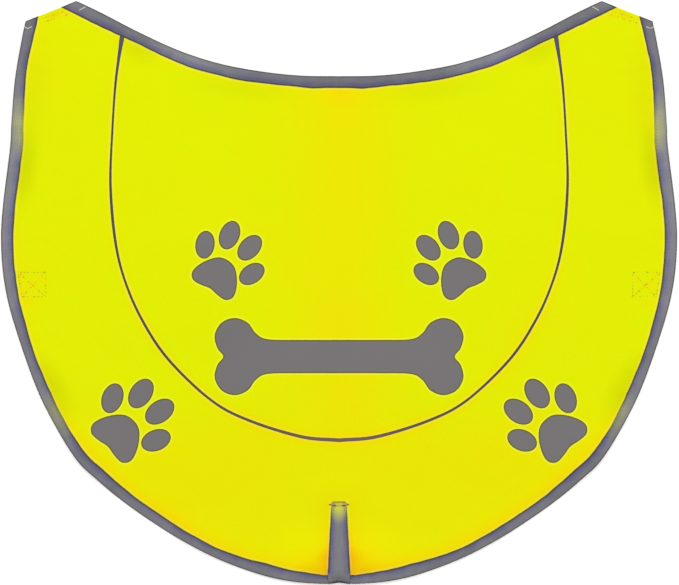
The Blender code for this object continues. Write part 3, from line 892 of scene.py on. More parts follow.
def mix_colours(share, first, second, blend="MIX"):
    """Two colours mixed by a share. The share is a socket or a number, and a colour a socket or three."""
    values = (share, first, second)
    tree = next(value.id_data for value in values if isinstance(value, bpy.types.NodeSocket))
    made = node(tree, "ShaderNodeMix", data_type="RGBA", blend_type=blend)
    for socket, value in zip((made.inputs["Factor"], made.inputs[6], made.inputs[7]), values):
        if isinstance(value, bpy.types.NodeSocket):
            tree.links.new(value, socket)
        else:
            socket.default_value = value if isinstance(value, float) else (*value, 1.0)
    return made.outputs[2]


def wave(place, way, scale, distortion=0.0):
    """Soft stripes."""
    made = node(place.id_data, "ShaderNodeTexWave", bands_direction=way, Scale=scale, Distortion=distortion)
    made.inputs["Detail"].default_value = 1.0
    place.id_data.links.new(place, made.inputs["Vector"])
    return made.outputs["Fac"]


def noise(place, scale, detail, roughness=0.5):
    """Soft uneven patches."""
    made = node(place.id_data, "ShaderNodeTexNoise", Scale=scale, Detail=detail, Roughness=roughness)
    place.id_data.links.new(place, made.inputs["Vector"])
    return made.outputs["Fac"]


def new_group(name, **inputs):
    """A shader group with named inputs, each with its default, and the sockets that bring them in."""
    group = bpy.data.node_groups.new(name, "ShaderNodeTree")
    for label, default in inputs.items():
        made = group.interface.new_socket(label, in_out="INPUT", socket_type="NodeSocketFloat")
        made.default_value = default
    return group, group.nodes.new("NodeGroupInput").outputs


def put_out(group, **outputs):
    """Gives a shader group its named outputs."""
    for label in outputs:
        group.interface.new_socket(label, in_out="OUTPUT", socket_type="NodeSocketFloat")
    out = group.nodes.new("NodeGroupOutput")
    for label, socket in outputs.items():
        group.links.new(socket, out.inputs[label])
    return group


def knit_group(name):
    """Fine warp knit: upright ribs, short loops across them, and a slow drift in shade."""
    group, given = new_group(name, Fuzz=0.4)
    place = group.nodes.new("ShaderNodeTexCoord").outputs["Object"]
    weave = times(wave(place, "X", 290.0, 0.6), wave(place, "Y", 360.0, 1.4))
    height = plus(weave, times(noise(place, 2600.0, 2.0), given["Fuzz"]))
    return put_out(group, Height=height, Drift=noise(place, 9.0, 3.0, 0.55), Loops=weave)


def weave_group(name):
    """Plain weave of narrow tape or webbing, along and across its UV map."""
    group, given = new_group(name, Grain=0.6)
    place = group.nodes.new("ShaderNodeTexCoord").outputs["UV"]
    stretch = node(group, "ShaderNodeMapping", Scale=(60.0, 700.0, 1.0))
    group.links.new(place, stretch.inputs["Vector"])
    weave = times(wave(place, "X", 420.0, 0.5), wave(place, "Y", 420.0, 0.5))
    return put_out(
        group,
        Height=plus(weave, times(noise(place, 1800.0, 3.0), given["Grain"])),
        Drift=noise(place, 150.0, 3.0, 0.6),
        Patches=noise(place, 46.0, 2.0, 0.6),
        Streaks=noise(stretch.outputs["Vector"], 1.0, 3.0, 0.6),
    )


def plain_material(name, roughness, specular):
    """A new material, its nodes and its Principled shader."""
    made = bpy.data.materials.new(name)
    made.use_nodes = True
    shader = made.node_tree.nodes["Principled BSDF"]
    shader.inputs["Roughness"].default_value = roughness
    shader.inputs["Specular IOR Level"].default_value = specular
    return made, made.node_tree, shader


def with_group(tree, name, maker):
    """The outputs of a shared group in a material. The group is made the first time."""
    made = tree.nodes.new("ShaderNodeGroup")
    made.node_tree = bpy.data.node_groups.get(name) or maker(name)
    return made.outputs


def finish_surface(shader, colour, height=None, strength=0.0, distance=0.0001):
    """Gives a shader its colour, and relief too fine for the mesh."""
    tree = colour.id_data
    tree.links.new(colour, shader.inputs["Base Color"])
    if height:
        bump = node(tree, "ShaderNodeBump", Strength=strength, Distance=distance)
        tree.links.new(height, bump.inputs["Height"])
        tree.links.new(bump.outputs["Normal"], shader.inputs["Normal"])


def attribute(tree, name):
    """A named number of the mesh."""
    return node(tree, "ShaderNodeAttribute", attribute_name=name).outputs["Fac"]


def shaded(colour, *factors):
    """A colour with each channel times its factor, or all three times one."""
    return tuple(channel * factor for channel, factor in zip(colour, factors * 3))


def dimmed(colour, share):
    """A colour times a share."""
    return mix_colours(1.0, colour, share, "MULTIPLY")


def knit_material():
    """Fluorescent yellow knit, more orange where the mesh says that it is warm. The orange is mostly painted
    shade, the pale tint is a painted highlight, and the light number paints shade and light.
    """
    cloth = settings()[0]
    made, tree, shader = plain_material("Fluorescent knit", 0.85, 0.04)
    knit = with_group(tree, "Warp knit", knit_group)
    warm = plus(times(ramp_between(knit["Drift"], 0.3, 0.75), 0.12), attribute(tree, "warm"), True)
    golden, orange = times(warm, 2.0, True), plus(times(warm, 2.0), -1.0, True)
    colour = mix_colours(golden, cloth.knit_colour, cloth.golden_colour)
    colour = mix_colours(orange, colour, cloth.warm_colour)
    # The pale and peach mix is a painted highlight beside tape, piping and prints
    pale_highlight = mix_colours(times(warm, warm), cloth.pale_colour, cloth.peach_colour)
    colour = mix_colours(attribute(tree, "pale"), colour, pale_highlight)
    colour = dimmed(colour, attribute(tree, "light"))
    keep = plus(times(ramp_between(knit["Loops"], 0.0, 0.5), 0.25), 0.75)
    colour = mix_colours(keep, shaded(cloth.knit_colour, 0.93), colour)
    finish_surface(shader, colour, knit["Height"], 0.28, 0.00025)
    return made


def tape_material():
    """Grey reflective tape: darker at the fold, bluish by its inner edge and dark along it. The dark fold is
    painted shade and the dark inner edge a painted shadow; it also takes painted light bounced from the
    cloth, a painted shadow at the top end of the vent, and painted shade from its shade number.
    """
    tape = settings()[1]
    made, tree, shader = plain_material("Reflective tape", 0.5, 0.25)
    weave = with_group(tree, "Tape weave", weave_group)
    across = attribute(tree, "across")
    cool, bright = shaded(tape.colour, 0.9, 1.02, 0.88), shaded(tape.colour, 1.08, 0.98, 1.1)
    colour = mix_colours(ramp_between(weave["Drift"], 0.36, 0.64), cool, bright)
    streak = times(ramp_between(weave["Streaks"], 0.3, 0.7), 0.5)
    colour = mix_colours(streak, colour, shaded(tape.colour, 1.25))
    place = plus(across, plus(times(weave["Drift"], 0.3), -0.15))
    patches = plus(times(ramp_between(weave["Patches"], 0.34, 0.56), 0.6), 0.4)
    for share, tinted in (
        (times(ramp_between(place, 0.36, 0.72), patches), tape.blue_colour),
        (ramp_between(across, 0.79, 0.92), tape.edge_shadow_colour),
        (ramp_between(across, 0.13, 0.06), tape.fold_shade_colour),
        (attribute(tree, "glow"), tape.bounce_light_colour),
        (attribute(tree, "olive"), tape.end_shadow_colour),
    ):
        colour = mix_colours(share, colour, tinted)
    tree.links.new(plus(times(weave["Drift"], 0.25), 0.4), shader.inputs["Roughness"])
    finish_surface(shader, dimmed(colour, attribute(tree, "shade")), weave["Height"], 0.3)
    return made


def woven_material(name, colour, roughness=0.85, strength=0.5, tints=()):
    """Plain webbing or cord cover with its weave. Tints take over where a number of the mesh says so."""
    made, tree, shader = plain_material(name, roughness, 0.1)
    weave = with_group(tree, "Tape weave", weave_group)
    base = mix_colours(ramp_between(weave["Height"], 0.1, 0.9), shaded(colour, 0.6), colour)
    for key, tinted in tints:
        base = mix_colours(attribute(tree, key), base, tinted)
    finish_surface(shader, base, weave["Height"], strength, 0.0002)
    return made


def thread_material(name, colour):
    """Twisted thread."""
    made, tree, shader = plain_material(name, 0.6, 0.25)
    twist = wave(tree.nodes.new("ShaderNodeTexCoord").outputs["Object"], "DIAGONAL", 900.0)
    finish_surface(shader, mix_colours(twist, shaded(colour, 0.7), colour))
    return made


def film_material():
    """Grey heat-pressed film with a faint grain from the knit beneath."""
    prints = settings()[3]
    made, tree, shader = plain_material("Pressed film", 0.5, 0.2)
    knit = with_group(tree, "Warp knit", knit_group)
    base = mix_colours(ramp_between(knit["Drift"], 0.3, 0.75), shaded(prints.colour, 0.95), prints.colour)
    base = mix_colours(attribute(tree, "rim"), base, prints.rim_colour)
    finish_surface(shader, base, knit["Height"], 0.12)
    return made


# Edges, with fine points


def fine_edges():
    """The neck edge, right hem and left hem, each as line, direction in and tape width, and the seam."""
    step = settings()[0].edge_step
    neck = both_halves(smooth_curve(NECK_ROWS, step))
    neck_inward = bound_inward(neck, mirrored(-TIP_RUN), TIP_RUN)
    hem = smooth_curve(HEM_ROWS, step)
    inward = bound_inward(hem, -TIP_RUN, np.array((0.0, 1.0)))
    width = listed(HEM_TAPE_ROWS, along(hem))
    return (
        (neck, neck_inward, listed(NECK_TAPE_ROWS, from_middle(neck))),
        (hem, inward, width),
        (mirrored(hem), mirrored(inward), width),
        both_halves(smooth_curve(SEAM_ROWS, step)),
    )


def in_from(edge, distance):
    """The line at a distance in from a bound edge."""
    return edge[0] + np.reshape(distance, (-1, 1)) * edge[1]


def back_outline():
    """Outline of the back panel: the neck edge, then down and up the inside of the piping."""
    neck, _, _, seam = fine_edges()
    neck_in = in_from(neck, PANEL_INSET)
    seam_in = offset(seam, -SEAM_HALF)
    middle = len(seam_in) // 2
    right_corner, neck_end, seam_end = crossing(neck_in, seam_in[middle:])
    top = neck_in[len(neck_in) - 1 - neck_end : neck_end + 1]
    side = seam_in[len(seam_in) - 1 - (middle + seam_end) : middle + seam_end + 1][::-1]
    return np.vstack((mirrored(right_corner[None]), top, right_corner, side))


def border_outline():
    """Outline of the border panel: shoulder tips, hem, slot of the vent, and outside of the piping."""
    neck, hem, _, seam = fine_edges()
    neck_in, hem_in = in_from(neck, PANEL_INSET), in_from(hem, PANEL_INSET)
    seam_out = offset(seam, SEAM_HALF)
    middle = len(seam_out) // 2
    seam_corner, neck_start, seam_end = crossing(neck_in, seam_out[middle:])
    tip_edge = neck_in[-1] + np.linspace(0.0, 1.0, 20)[1:-1, None] * (hem_in[0] - neck_in[-1])
    slot_edge = VENT_GAP + PANEL_INSET
    slot_foot = np.array((slot_edge, np.interp(slot_edge, hem_in[::-1, 0], hem_in[::-1, 1])))
    slot_end = np.array((slot_edge, VENT_TOP + GAP))
    slot = slot_foot + np.linspace(0.0, 1.0, 30)[:, None] * (slot_end - slot_foot)
    hem_run = hem_in[hem_in[:, 0] > slot_edge + 0.7]
    right = np.vstack((seam_corner, neck_in[neck_start + 1 :], tip_edge, hem_run, slot))
    seam_run = seam_out[len(seam_out) - 1 - (middle + seam_end) : middle + seam_end + 1]
    return np.vstack((right, mirrored(right)[::-1], seam_run))


def warmth(points):
    """How orange the knit is: beside tape and piping, down the middle and round the foot of the vent. The
    fluorescent knit turns orange in shade, so along the tape, the piping, the folds and the vent's foot this
    orange is painted shade.
    """
    x, y = points[:, 0], points[:, 1]
    seam = nearest_on(SEAM_COARSE, points)[0]
    low = np.clip((-y - 60.0) / 130.0, 0.0, 1.0)
    upper = (1.0 - falling(y + 212.0, 24.0)) * bell(x, 22.0)
    by_tape = (0.2 + 0.14 * low) * bell(past_tapes(points), 3.6 + 4.8 * low) * (1.0 - 0.75 * upper)
    by_piping = (0.1 + 0.16 * falling(y + 20.0, 60.0)) * bell(seam, 2.4, 3.0)
    middle = 0.24 * bell(x, 45.0) * falling(-80.0 - y, 60.0)
    below = 0.2 * (1.0 - falling(-84.0 - y, 50.0))
    beside = np.clip(np.abs(x) - vent_width(y), 0.0, None)
    strip = (0.02 + 0.2 * falling(y + 214.0, 30.0)) * np.exp(-((beside / 2.6) ** 4)) * (y < VENT_TOP)
    foot = falling(y + 224.0, 14.0) * (0.08 * bell(beside, 3.5) + 0.34 * bell(beside, 24.0))
    patches = ovals(points, WARM_ROWS)
    return np.clip(by_tape + by_piping + middle + below + strip + foot + patches, 0.0, 1.0)


def beside_prints(points):
    """How far each point is from the edge of the nearest print, up to a few millimetres."""
    away = np.full(len(points), 9.0)
    for outlines in print_outlines().values():
        for outline in outlines:
            low, high = outline.min(axis=0) - 4.0, outline.max(axis=0) + 4.0
            close = np.all((points > low) & (points < high), axis=1)
            ring = np.vstack((outline, outline[:1]))
            away[close] = np.minimum(away[close], nearest_on(ring, points[close])[0])
    return away


def paleness(points):
    """How pale the knit is along tape, piping and prints: a painted highlight beside their edges."""
    by_tape = 0.85 * bell(past_tapes(points), 0.75, 0.6)
    by_piping = 0.9 * bell(nearest_on(SEAM_COARSE, points)[0], 0.75, 1.4)
    return np.maximum.reduce((by_tape, by_piping, 0.9 * bell(beside_prints(points), 0.65, 0.6)))


def lightness(points):
    """Share of the knit's colour that is left in its darker places."""
    return 1.0 - ovals(points, SHADE_ROWS)


def sewn_rows():
    """Rows of points along the inner edge of every tape, the piping and the edges of the prints."""
    *edges, seam = fine_edges()
    ys = np.arange(OVER_HEM, VENT_TOP, 1.8)
    rows = []
    for past in (-1.2, 0.1, 0.9, 1.9, 3.2):
        beside = np.column_stack((vent_width(ys) + past, ys))
        rows += [in_from(edge, edge[2] + past) for edge in edges] + [beside, mirrored(beside)]
    for past in (0.9, 1.6, 2.4, 4.0):
        rows += [offset(seam, past), offset(seam, -past)]
    for outlines in print_outlines().values():
        rows += [offset(outline, past) for outline in outlines for past in (-1.8, -0.7, 0.7, 1.8)]
    return rows


class VEST_OT_panels(bpy.types.Operator):
    """Cut the back panel and the border panel from the knit."""

    bl_idname = "vest.panels"
    bl_label = "Cut the panels"

    def execute(self, context):
        cloth = settings()[0]
        knit = knit_material()
        facts = (("warm", warmth), ("pale", paleness), ("light", lightness))
        rows = sewn_rows()
        for name, solid, outline, flat in (
            ("back_cloth", "back_panel", back_outline(), (0.384, 0.349)),
            ("border_cloth", "border_panel", border_outline(), (0.568, 0.489)),
        ):
            made = layer(name, [outline], cloth.mesh_step, lie, cloth.thickness, knit, facts, rows)
            finish_piece(made, [solid])
        return {"FINISHED"}


class VEST_OT_piping(bpy.types.Operator):
    """Lay the piping into the seam between the two panels."""

    bl_idname = "vest.piping"
    bl_label = "Lay the piping"

    def execute(self, context):
        cloth = settings()[0]
        seam = fine_edges()[3]
        distance = along(seam)
        from_end = np.minimum(distance, distance[-1] - distance)
        kept = from_end > PIPING_CUT
        normal = to_the_right(directions(seam))[kept]
        seam, distance, from_end = seam[kept], distance[kept], from_end[kept]
        width, faded, blue = (listed(PIPING_ROWS, from_end, column)[:, None] for column in (1, 2, 3))
        proud = 0.3 + 0.35 * (1.0 - falling(from_end - 9.0, 5.0))
        top = cloth.thickness + 0.04
        arc = np.linspace(0.0, math.pi, 9)
        stem = np.tile((-STEM_HALF, -STEM_HALF, STEM_HALF, STEM_HALF), (len(seam), 1))
        stem_height = np.tile((top - 0.06, 0.05, 0.05, top - 0.06), (len(seam), 1))
        across = np.hstack((width / 2 * np.cos(arc), stem))
        height = np.hstack((top + proud[:, None] * np.sin(arc), stem_height)) + lie(seam)[:, None]
        flat = seam[:, None] + across[..., None] * normal[:, None]
        # The highlight tint is painted light where light catches the cord
        tints = (("faded", cloth.highlight_colour), ("blue", cloth.blue_colour))
        cover = woven_material("Piping cover", cloth.piping_colour, tints=tints)
        around = np.linspace(0.0, 6.0, across.shape[1])
        made = ribbon("piping_cover", flat, height, distance[:, None], around, cover, faded=faded, blue=blue)
        finish_piece(made, ["seam_piping"])
        return {"FINISHED"}


def tape_section(widths, fold):
    """Folded tape at each width: depths in from the fold, heights, and heights where it is pressed flat."""
    cloth, tape = settings()[:2]
    share, more, over, height, pressed = np.array(TAPE_TOP_ROWS + fold + TAPE_UNDER_ROWS).T
    levels = np.array((0.0, cloth.thickness, cloth.thickness + tape.thickness))
    return widths[:, None] * share + more, levels[over.astype(int)] + height, pressed


def bounce_light_at(flat):
    """Strength of the painted yellow-green light on the tape, bounced from the cloth."""
    return np.clip(ovals(flat.reshape(-1, 2), BOUNCE_LIGHT_ROWS), 0.0, 1.0).reshape(flat.shape[:2])


def bound_tape(name, edge, shades, seed, material):
    """A folded tape on an edge that has its cloth on the right. Its cut ends are dark with the painted shadow
    of its inner edge.
    """
    travelled = along(edge[0])
    distance = np.unique(np.concatenate((travelled, (0.5, 1.1), travelled[-1] - np.array((0.5, 1.1)))))
    curve, inward = (read_at(distance, travelled, values) for values in edge[:2])
    widths, shades = (np.interp(distance, travelled, values) for values in (edge[2], shades))
    widths = widths + 0.16 * wander(distance, 6.0, seed) + 0.14 * wander(distance, 17.0, seed + 1)
    shades = shades * (1.0 + 0.06 * wander(distance, 14.0, seed + 5) + 0.05 * wander(distance, 4.5, seed + 6))
    base, inner = lie(curve)[:, None], lie(curve + widths[:, None] * inward)[:, None]
    cockle = 0.1 * wander(distance, 3.4, seed + 2) + 0.1 * wander(distance, 8.0, seed + 3)
    depth, height, _ = tape_section(widths, ROUND_FOLD_ROWS)
    share = np.clip(depth / widths[:, None], 0.0, 1.0)
    rise = cockle[:, None] * np.sin(np.pi * share) * (height > 0.4)
    flat = curve[:, None] + depth[..., None] * inward[:, None]
    at_end = np.minimum(distance, distance[-1] - distance) < 0.6
    return ribbon(
        name, flat, base + (inner - base) * share + height + rise, distance[:, None], depth, material,
        across=np.where(at_end[:, None], 1.0, share), shade=shades[:, None], olive=0.0,
        glow=bounce_light_at(flat) * np.clip(0.45 + 0.6 * share, 0.0, 1.0),
    )


def foot_shade(x, up):
    """Shade of the vent's tape at a distance above the hem's edge. It is darkest in the middle."""
    return 1.0 - (1.0 - listed(FOOT_SHADE_ROWS, up)) * (0.55 + 0.45 * bell(x, 6.5))


def vent_tape(name, side, material):
    """Folded tape on one edge of the vent. Its foot lies over the hem's tape and turns down over the fold."""
    into, lid, lean = np.array(TURN_ROWS).T
    lower = np.linspace(VENT_FOOT + 3.2, OVER_HEM + 3.0, 12)
    upper = np.arange(OVER_HEM + 4.5, VENT_TOP - 2.0, 1.6)
    y = np.concatenate((VENT_FOOT + into, lower, upper, VENT_TOP - np.array((1.6, 1.2, 0.7, 0.0))))
    lid, lean = (np.pad(part, (0, len(y) - len(part)), "edge")[:, None] for part in (lid, np.radians(lean)))
    widths = vent_width(y) + 0.12 * wander(y, 5.0, 71 + int(side)) - 1.1 * falling(VENT_TOP - y, 1.2)
    depth, height, laid = tape_section(widths, SQUARE_FOLD_ROWS)
    x, y = VENT_FOLD + depth, y[:, None]
    droop = (np.interp(x, *HEM_COARSE[::-1].T) - VENT_FOOT) * falling(y - VENT_FOOT, 8.0)
    flat = np.dstack((side * x, y + droop - np.sin(lean) * laid))
    pressed = falling(y - OVER_HEM, 3.0)
    height = height * (1.0 - pressed) + (lid + np.cos(lean) * laid) * pressed
    plain = 0.2 + 0.8 * np.clip(depth / widths[:, None], 0.0, 1.0)
    # The vent's tape gets painted shade at its foot, a painted shadow at its top end and painted light
    # bounced from the cloth
    return ribbon(
        name, flat, lie(flat.reshape(-1, 2)).reshape(x.shape) + height, y, side * depth, material,
        across=plain * (1.0 - 0.5 * falling(y - OVER_HEM + 4.0, 3.0)), shade=foot_shade(x, y - VENT_FOOT),
        glow=bounce_light_at(flat), olive=1.0 - falling(y - VENT_TOP + 1.5, 0.4),
    )


class VEST_OT_bindings(bpy.types.Operator):
    """Fold the reflective tape over the neck, the hem and the vent."""

    bl_idname = "vest.bindings"
    bl_label = "Bind the edges"

    def execute(self, context):
        material = tape_material()
        neck, right, left, _ = fine_edges()
        neck_shades = listed(NECK_TAPE_ROWS, from_middle(neck[0]), 2)
        hem_shades = listed(HEM_TAPE_ROWS, along(right[0]), 2)
        for name, solid, edge, shades, seed in (
            ("neck_tape", "neck_binding", neck, neck_shades, 101),
            ("hem_tape_right", "hem_binding_right", right, hem_shades, 131),
            ("hem_tape_left", "hem_binding_left", left, hem_shades, 161),
        ):
            made = bound_tape(name, edge, shades, seed, material)
            finish_piece(made, [solid])
        for side, label in SIDES:
            made = vent_tape("vent_tape_" + label, side, material)
            finish_piece(made, ["vent_binding_" + label])
        return {"FINISHED"}


def rectangle(centre, run, half_length, half_width, step):
    """Outline of a rectangle with points about step apart."""
    across = np.array((-run[1], run[0]))
    ways = ((1, 1), (-1, 1), (-1, -1), (1, -1), (1, 1))
    corners = [centre + a * half_length * run + b * half_width * across for a, b in ways]
    sides = []
    for start, end in zip(corners, corners[1:]):
        count = max(1, round(np.linalg.norm(end - start) / step))
        sides.append(start + np.arange(count)[:, None] / count * (end - start))
    return np.vstack(sides)


def under_cloth(name, centre, run, width, length, material, slot, solid, lift=0.0, thickness=STRAP, **rests):
    """A strap, tab or patch that lies flat under the cloth."""
    outline = rectangle(centre, run, length / 2, width / 2, STRAP_STEP)
    made = layer(name, [outline], STRAP_STEP, lambda points: swell(points) + lift, thickness, material)
    finish_piece(made, [solid])


class VEST_OT_straps(bpy.types.Operator):
    """Lay the belly straps, the hook patch and the chest tabs under the cloth."""

    bl_idname = "vest.straps"
    bl_label = "Lay the straps"

    def execute(self, context):
        cloth = settings()[0]
        webbing = woven_material("Strap webbing", cloth.strap_colour)
        hooks = woven_material("Hook tape", cloth.hook_colour, 0.9, 0.9)
        along_strap = np.array((1.0, 0.0))
        strap, tab = (STRAP_WIDTH, STRAP_LENGTH), (TAB_WIDTH, TAB_LENGTH)
        for side, label in SIDES:
            finish = (webbing, "strap_webbing", "belly_strap_" + label)
            under_cloth("strap_" + label, strap_middle(side), along_strap, *strap, *finish)
            finish = (webbing, "strap_webbing") if side > 0 else (hooks, "hook_tape")
            under_cloth("tab_" + label, *tab_frame(side), *tab, *finish, "chest_tab_" + label)
        under_cloth(
            "hook_patch", hook_middle(), along_strap, STRAP_WIDTH, HOOK_LENGTH, hooks, "hook_tape",
            "belly_hook_patch", STRAP + 0.05, HOOK_TAPE, rests_on=["strap_left"],
        )
        return {"FINISHED"}


# Stitches


def stitch_tree():
    """Geometry nodes that lay small beads, such as stitches, at an even pitch along every edge run."""
    tree = bpy.data.node_groups.new("Stitch run", "GeometryNodeTree")
    for label, kind, default in (
        ("Geometry", "Geometry", None), ("Pitch", "Float", 0.003), ("Length", "Float", 0.0022),
        ("Width", "Float", 0.0004), ("Height", "Float", 0.0003), ("Smallest", "Float", 1.0),
        ("Material", "Material", None),
    ):
        made = tree.interface.new_socket(label, in_out="INPUT", socket_type="NodeSocket" + kind)
        if default:
            made.default_value = default
    tree.interface.new_socket("Geometry", in_out="OUTPUT", socket_type="NodeSocketGeometry")
    nodes = {
        "start": node(tree, "NodeGroupInput"),
        "curve": node(tree, "GeometryNodeMeshToCurve"),
        "spots": node(tree, "GeometryNodeCurveToPoints", mode="LENGTH"),
        "lay": node(tree, "FunctionNodeAlignRotationToVector", axis="X"),
        "bead": node(tree, "GeometryNodeMeshUVSphere", Segments=6, Rings=6, Radius=0.5),
        "size": node(tree, "ShaderNodeCombineXYZ"),
        "uneven": node(tree, "FunctionNodeRandomValue", data_type="FLOAT", Seed=7),
        "scaled": node(tree, "ShaderNodeVectorMath", operation="SCALE"),
        "place": node(tree, "GeometryNodeInstanceOnPoints"),
        "smooth": node(tree, "GeometryNodeSetShadeSmooth"),
        "solid": node(tree, "GeometryNodeRealizeInstances"),
        "finish": node(tree, "GeometryNodeSetMaterial"),
        "out": node(tree, "NodeGroupOutput"),
    }
    for row in STITCH_LINKS:
        ends = []
        for end, sockets in zip(row.split(), ("outputs", "inputs")):
            name, label = end.split(".")
            ends.append(getattr(nodes[name], sockets)[int(label) if label.isdigit() else label])
        tree.links.new(*ends)
    return tree


def stitch_run(name, lines, pitch, size, smallest, material):
    """Beads along lines of (x, y, z) points, made into a plain mesh."""
    corners, edges = [], []
    for line in lines:
        start = len(corners)
        corners += [Vector(point) * MM for point in line]
        edges += [(k, k + 1) for k in range(start, start + len(line) - 1)]
    path = bpy.data.meshes.new(name + "_path")
    path.from_pydata(corners, edges, [])
    path.materials.append(material)
    source = new_object(name + "_path", path)
    nodes = source.modifiers.new("Stitches", "NODES")
    nodes.node_group = bpy.data.node_groups.get("Stitch run") or stitch_tree()
    values = {"Pitch": pitch * MM, "Smallest": smallest, "Material": material}
    values.update(zip(("Length", "Width", "Height"), (part * MM for part in size)))
    for item in nodes.node_group.interface.items_tree:
        if item.in_out == "INPUT" and item.name in values:
            nodes[item.identifier] = values[item.name]
    mesh = bpy.data.meshes.new_from_object(source.evaluated_get(bpy.context.evaluated_depsgraph_get()))
    bpy.data.objects.remove(source)
    bpy.data.meshes.remove(path)
    mesh.name = name
    return finish_piece(new_object(name, mesh))


def on_cloth(points, height):
    """The points of a line on the surface of the cloth."""
    return np.column_stack((points, lie(points) + height))


def shifted(line, distance):
    """A line that starts further along."""
    travelled = along(line)
    return read_at(np.concatenate(([distance], travelled[travelled > distance])), travelled, line)


def seam_lines():
    """Lines of stitches along the inner edge of every tape."""
    cloth, tape = settings()[:2]
    height = cloth.thickness + tape.thickness + 0.02
    lines = [in_from(edge, edge[2] - tape.stitch_inset)[1:-1] for edge in fine_edges()[:3]]
    ys = np.arange(OVER_HEM + 2.0, VENT_TOP - 3.0, 2.0)
    beside = np.column_stack((VENT_FOLD + vent_width(ys) - tape.stitch_inset, ys))
    return [on_cloth(line, height) for line in (*lines, beside, mirrored(beside))]


def straight(start, end, step=2.0):
    """Points on a straight line."""
    start, end = np.array(start, float), np.array(end, float)
    count = max(2, round(np.linalg.norm(end - start) / step) + 1)
    return start + np.linspace(0.0, 1.0, count)[:, None] * (end - start)


def box_lines():
    """Lines of the box and cross that hold the right belly strap."""
    inner_top, inner_low = (BOX_INNER, BOX_HIGH), (BOX_INNER, BOX_LOW)
    outer_top, outer_low = (BOX_OUTER_TOP, BOX_HIGH), (BOX_OUTER_LOW, BOX_LOW)
    around = (inner_top, outer_top, outer_low, inner_low, inner_top)
    lines = [straight(start, end) for start, end in zip(around, around[1:])]
    return lines + [straight(inner_top, outer_low), straight(inner_low, outer_top)]


def bent(row):
    """A curve from the first point of a row over the second to the third."""
    start, over, end = np.reshape(np.array(row, float), (3, 2))
    control = 2 * over - (start + end) / 2
    share = np.linspace(0.0, 1.0, 12)[:, None]
    return (1 - share) ** 2 * start + 2 * share * (1 - share) * control + share**2 * end


class VEST_OT_stitches(bpy.types.Operator):
    """Sew the bindings, the straps, the tabs and the top of the vent."""

    bl_idname = "vest.stitches"
    bl_label = "Sew"

    def execute(self, context):
        cloth, tape, sewing = settings()[:3]
        thick = 2 * sewing.thread_radius
        threads = {key: thread_material(name, getattr(sewing, key + "_colour")) for key, name in THREADS}

        def sew(name, lines, height, pitch, size, smallest, thread):
            """One run of stitches on the tape, with its lines laid on the cloth."""
            laid = [on_cloth(line, height) for line in lines]
            stitch_run(name, laid, pitch, size, smallest, threads[thread])

        size = (1.9, thick, thick)
        grey = threads["grey"]
        stitch_run("tape_stitches", seam_lines(), tape.stitch_pitch, size, 0.5, grey)
        tips = [straight(row[:2], row[2:]) for row in TIP_STITCH_ROWS]
        flat = [line * flip for line in box_lines() + tips for flip in FLIPS]
        lines = [on_cloth(line, cloth.thickness) for line in flat]
        size = (1.9, thick, thick * 0.8)
        stitch_run("strap_stitches", lines, STRAP_PITCH, size, 0.4, threads["yellow"])
        # Dark yellow beads at the needle holes: painted shade of the dimples round them
        holes = [shifted(line, STRAP_PITCH / 2) for line in lines]
        size = (2.4, 1.4, 0.16)
        stitch_run("strap_needle_holes", holes, STRAP_PITCH, size, 0.1, threads["hole"])
        over = cloth.thickness + tape.thickness + 0.5
        ends = [bent(row) * flip for row in TIP_THREAD_ROWS for flip in FLIPS]
        sew("tip_threads", ends, over, 0.7, (1.3, 1.05, 0.5), 1.0, "cream")
        loops = [straight(row[:2], row[2:], 0.5) * flip for row in TACK_ROWS for flip in FLIPS]
        sew("bar_tack", loops, over + 0.12, 0.6, (1.0, 0.75, 0.4), 0.9, "pale")
        middle = straight((-2.4, VENT_TOP - 2.5), (2.4, VENT_TOP - 2.5), 0.5)
        sew("bar_tack_middle", [middle], over + 0.1, 0.7, (1.0, 0.85, 0.36), 0.9, "tack")
        # Spots of painted shade at the bar tack and the corners of the vent's foot
        for count, (*ends, rise, width) in enumerate(SPOT_ROWS):
            lines = [straight(ends[:2], ends[2:], 0.5) * flip for flip in FLIPS]
            sew(f"vent_spot_{count + 1}", lines, rise, 0.8, (1.4, width, 0.2), 0.8, "spot")
        return {"FINISHED"}


# Prints


def paw_outlines(x, y, turn, scale, side):
    """Outlines of one paw print: the pad and four toes."""
    right = np.array(PAD_ROWS)
    pad = np.vstack((right, mirrored(right[1:-1])[::-1]))
    shapes = [smooth_curve(pad, 1.2, closed=True)]
    for toe_x, toe_y, half_width, half_length, lean in TOE_ROWS:
        for hand in (1.0, -1.0):
            angles = np.linspace(0.0, 2 * math.pi, 48, endpoint=False)
            oval = np.column_stack((half_width * np.cos(angles), half_length * np.sin(angles)))
            shapes.append(turned(oval, hand * lean) + np.array((hand * toe_x, toe_y)))
    return [turned(shape * scale, -turn * side) + np.array((side * x, y)) for shape in shapes]


def bone_outline():
    """Outline of the bone print."""
    quarter = np.array(BONE_ROWS)
    right = np.vstack((quarter, (quarter * np.array((1.0, -1.0)))[-2::-1]))
    whole = np.vstack((right, mirrored(right)[-2:0:-1]))
    return smooth_curve(whole, 1.5, closed=True) + np.array((0.0, BONE_Y))


def print_outlines():
    """The outlines of every print, by the name of its piece."""
    found = {
        f"paw_{place}_{label}": paw_outlines(*row, side)
        for side, label in SIDES
        for row, place in zip(PAW_ROWS, ("upper", "lower"))
    }
    found["bone_print"] = [bone_outline()]
    return found


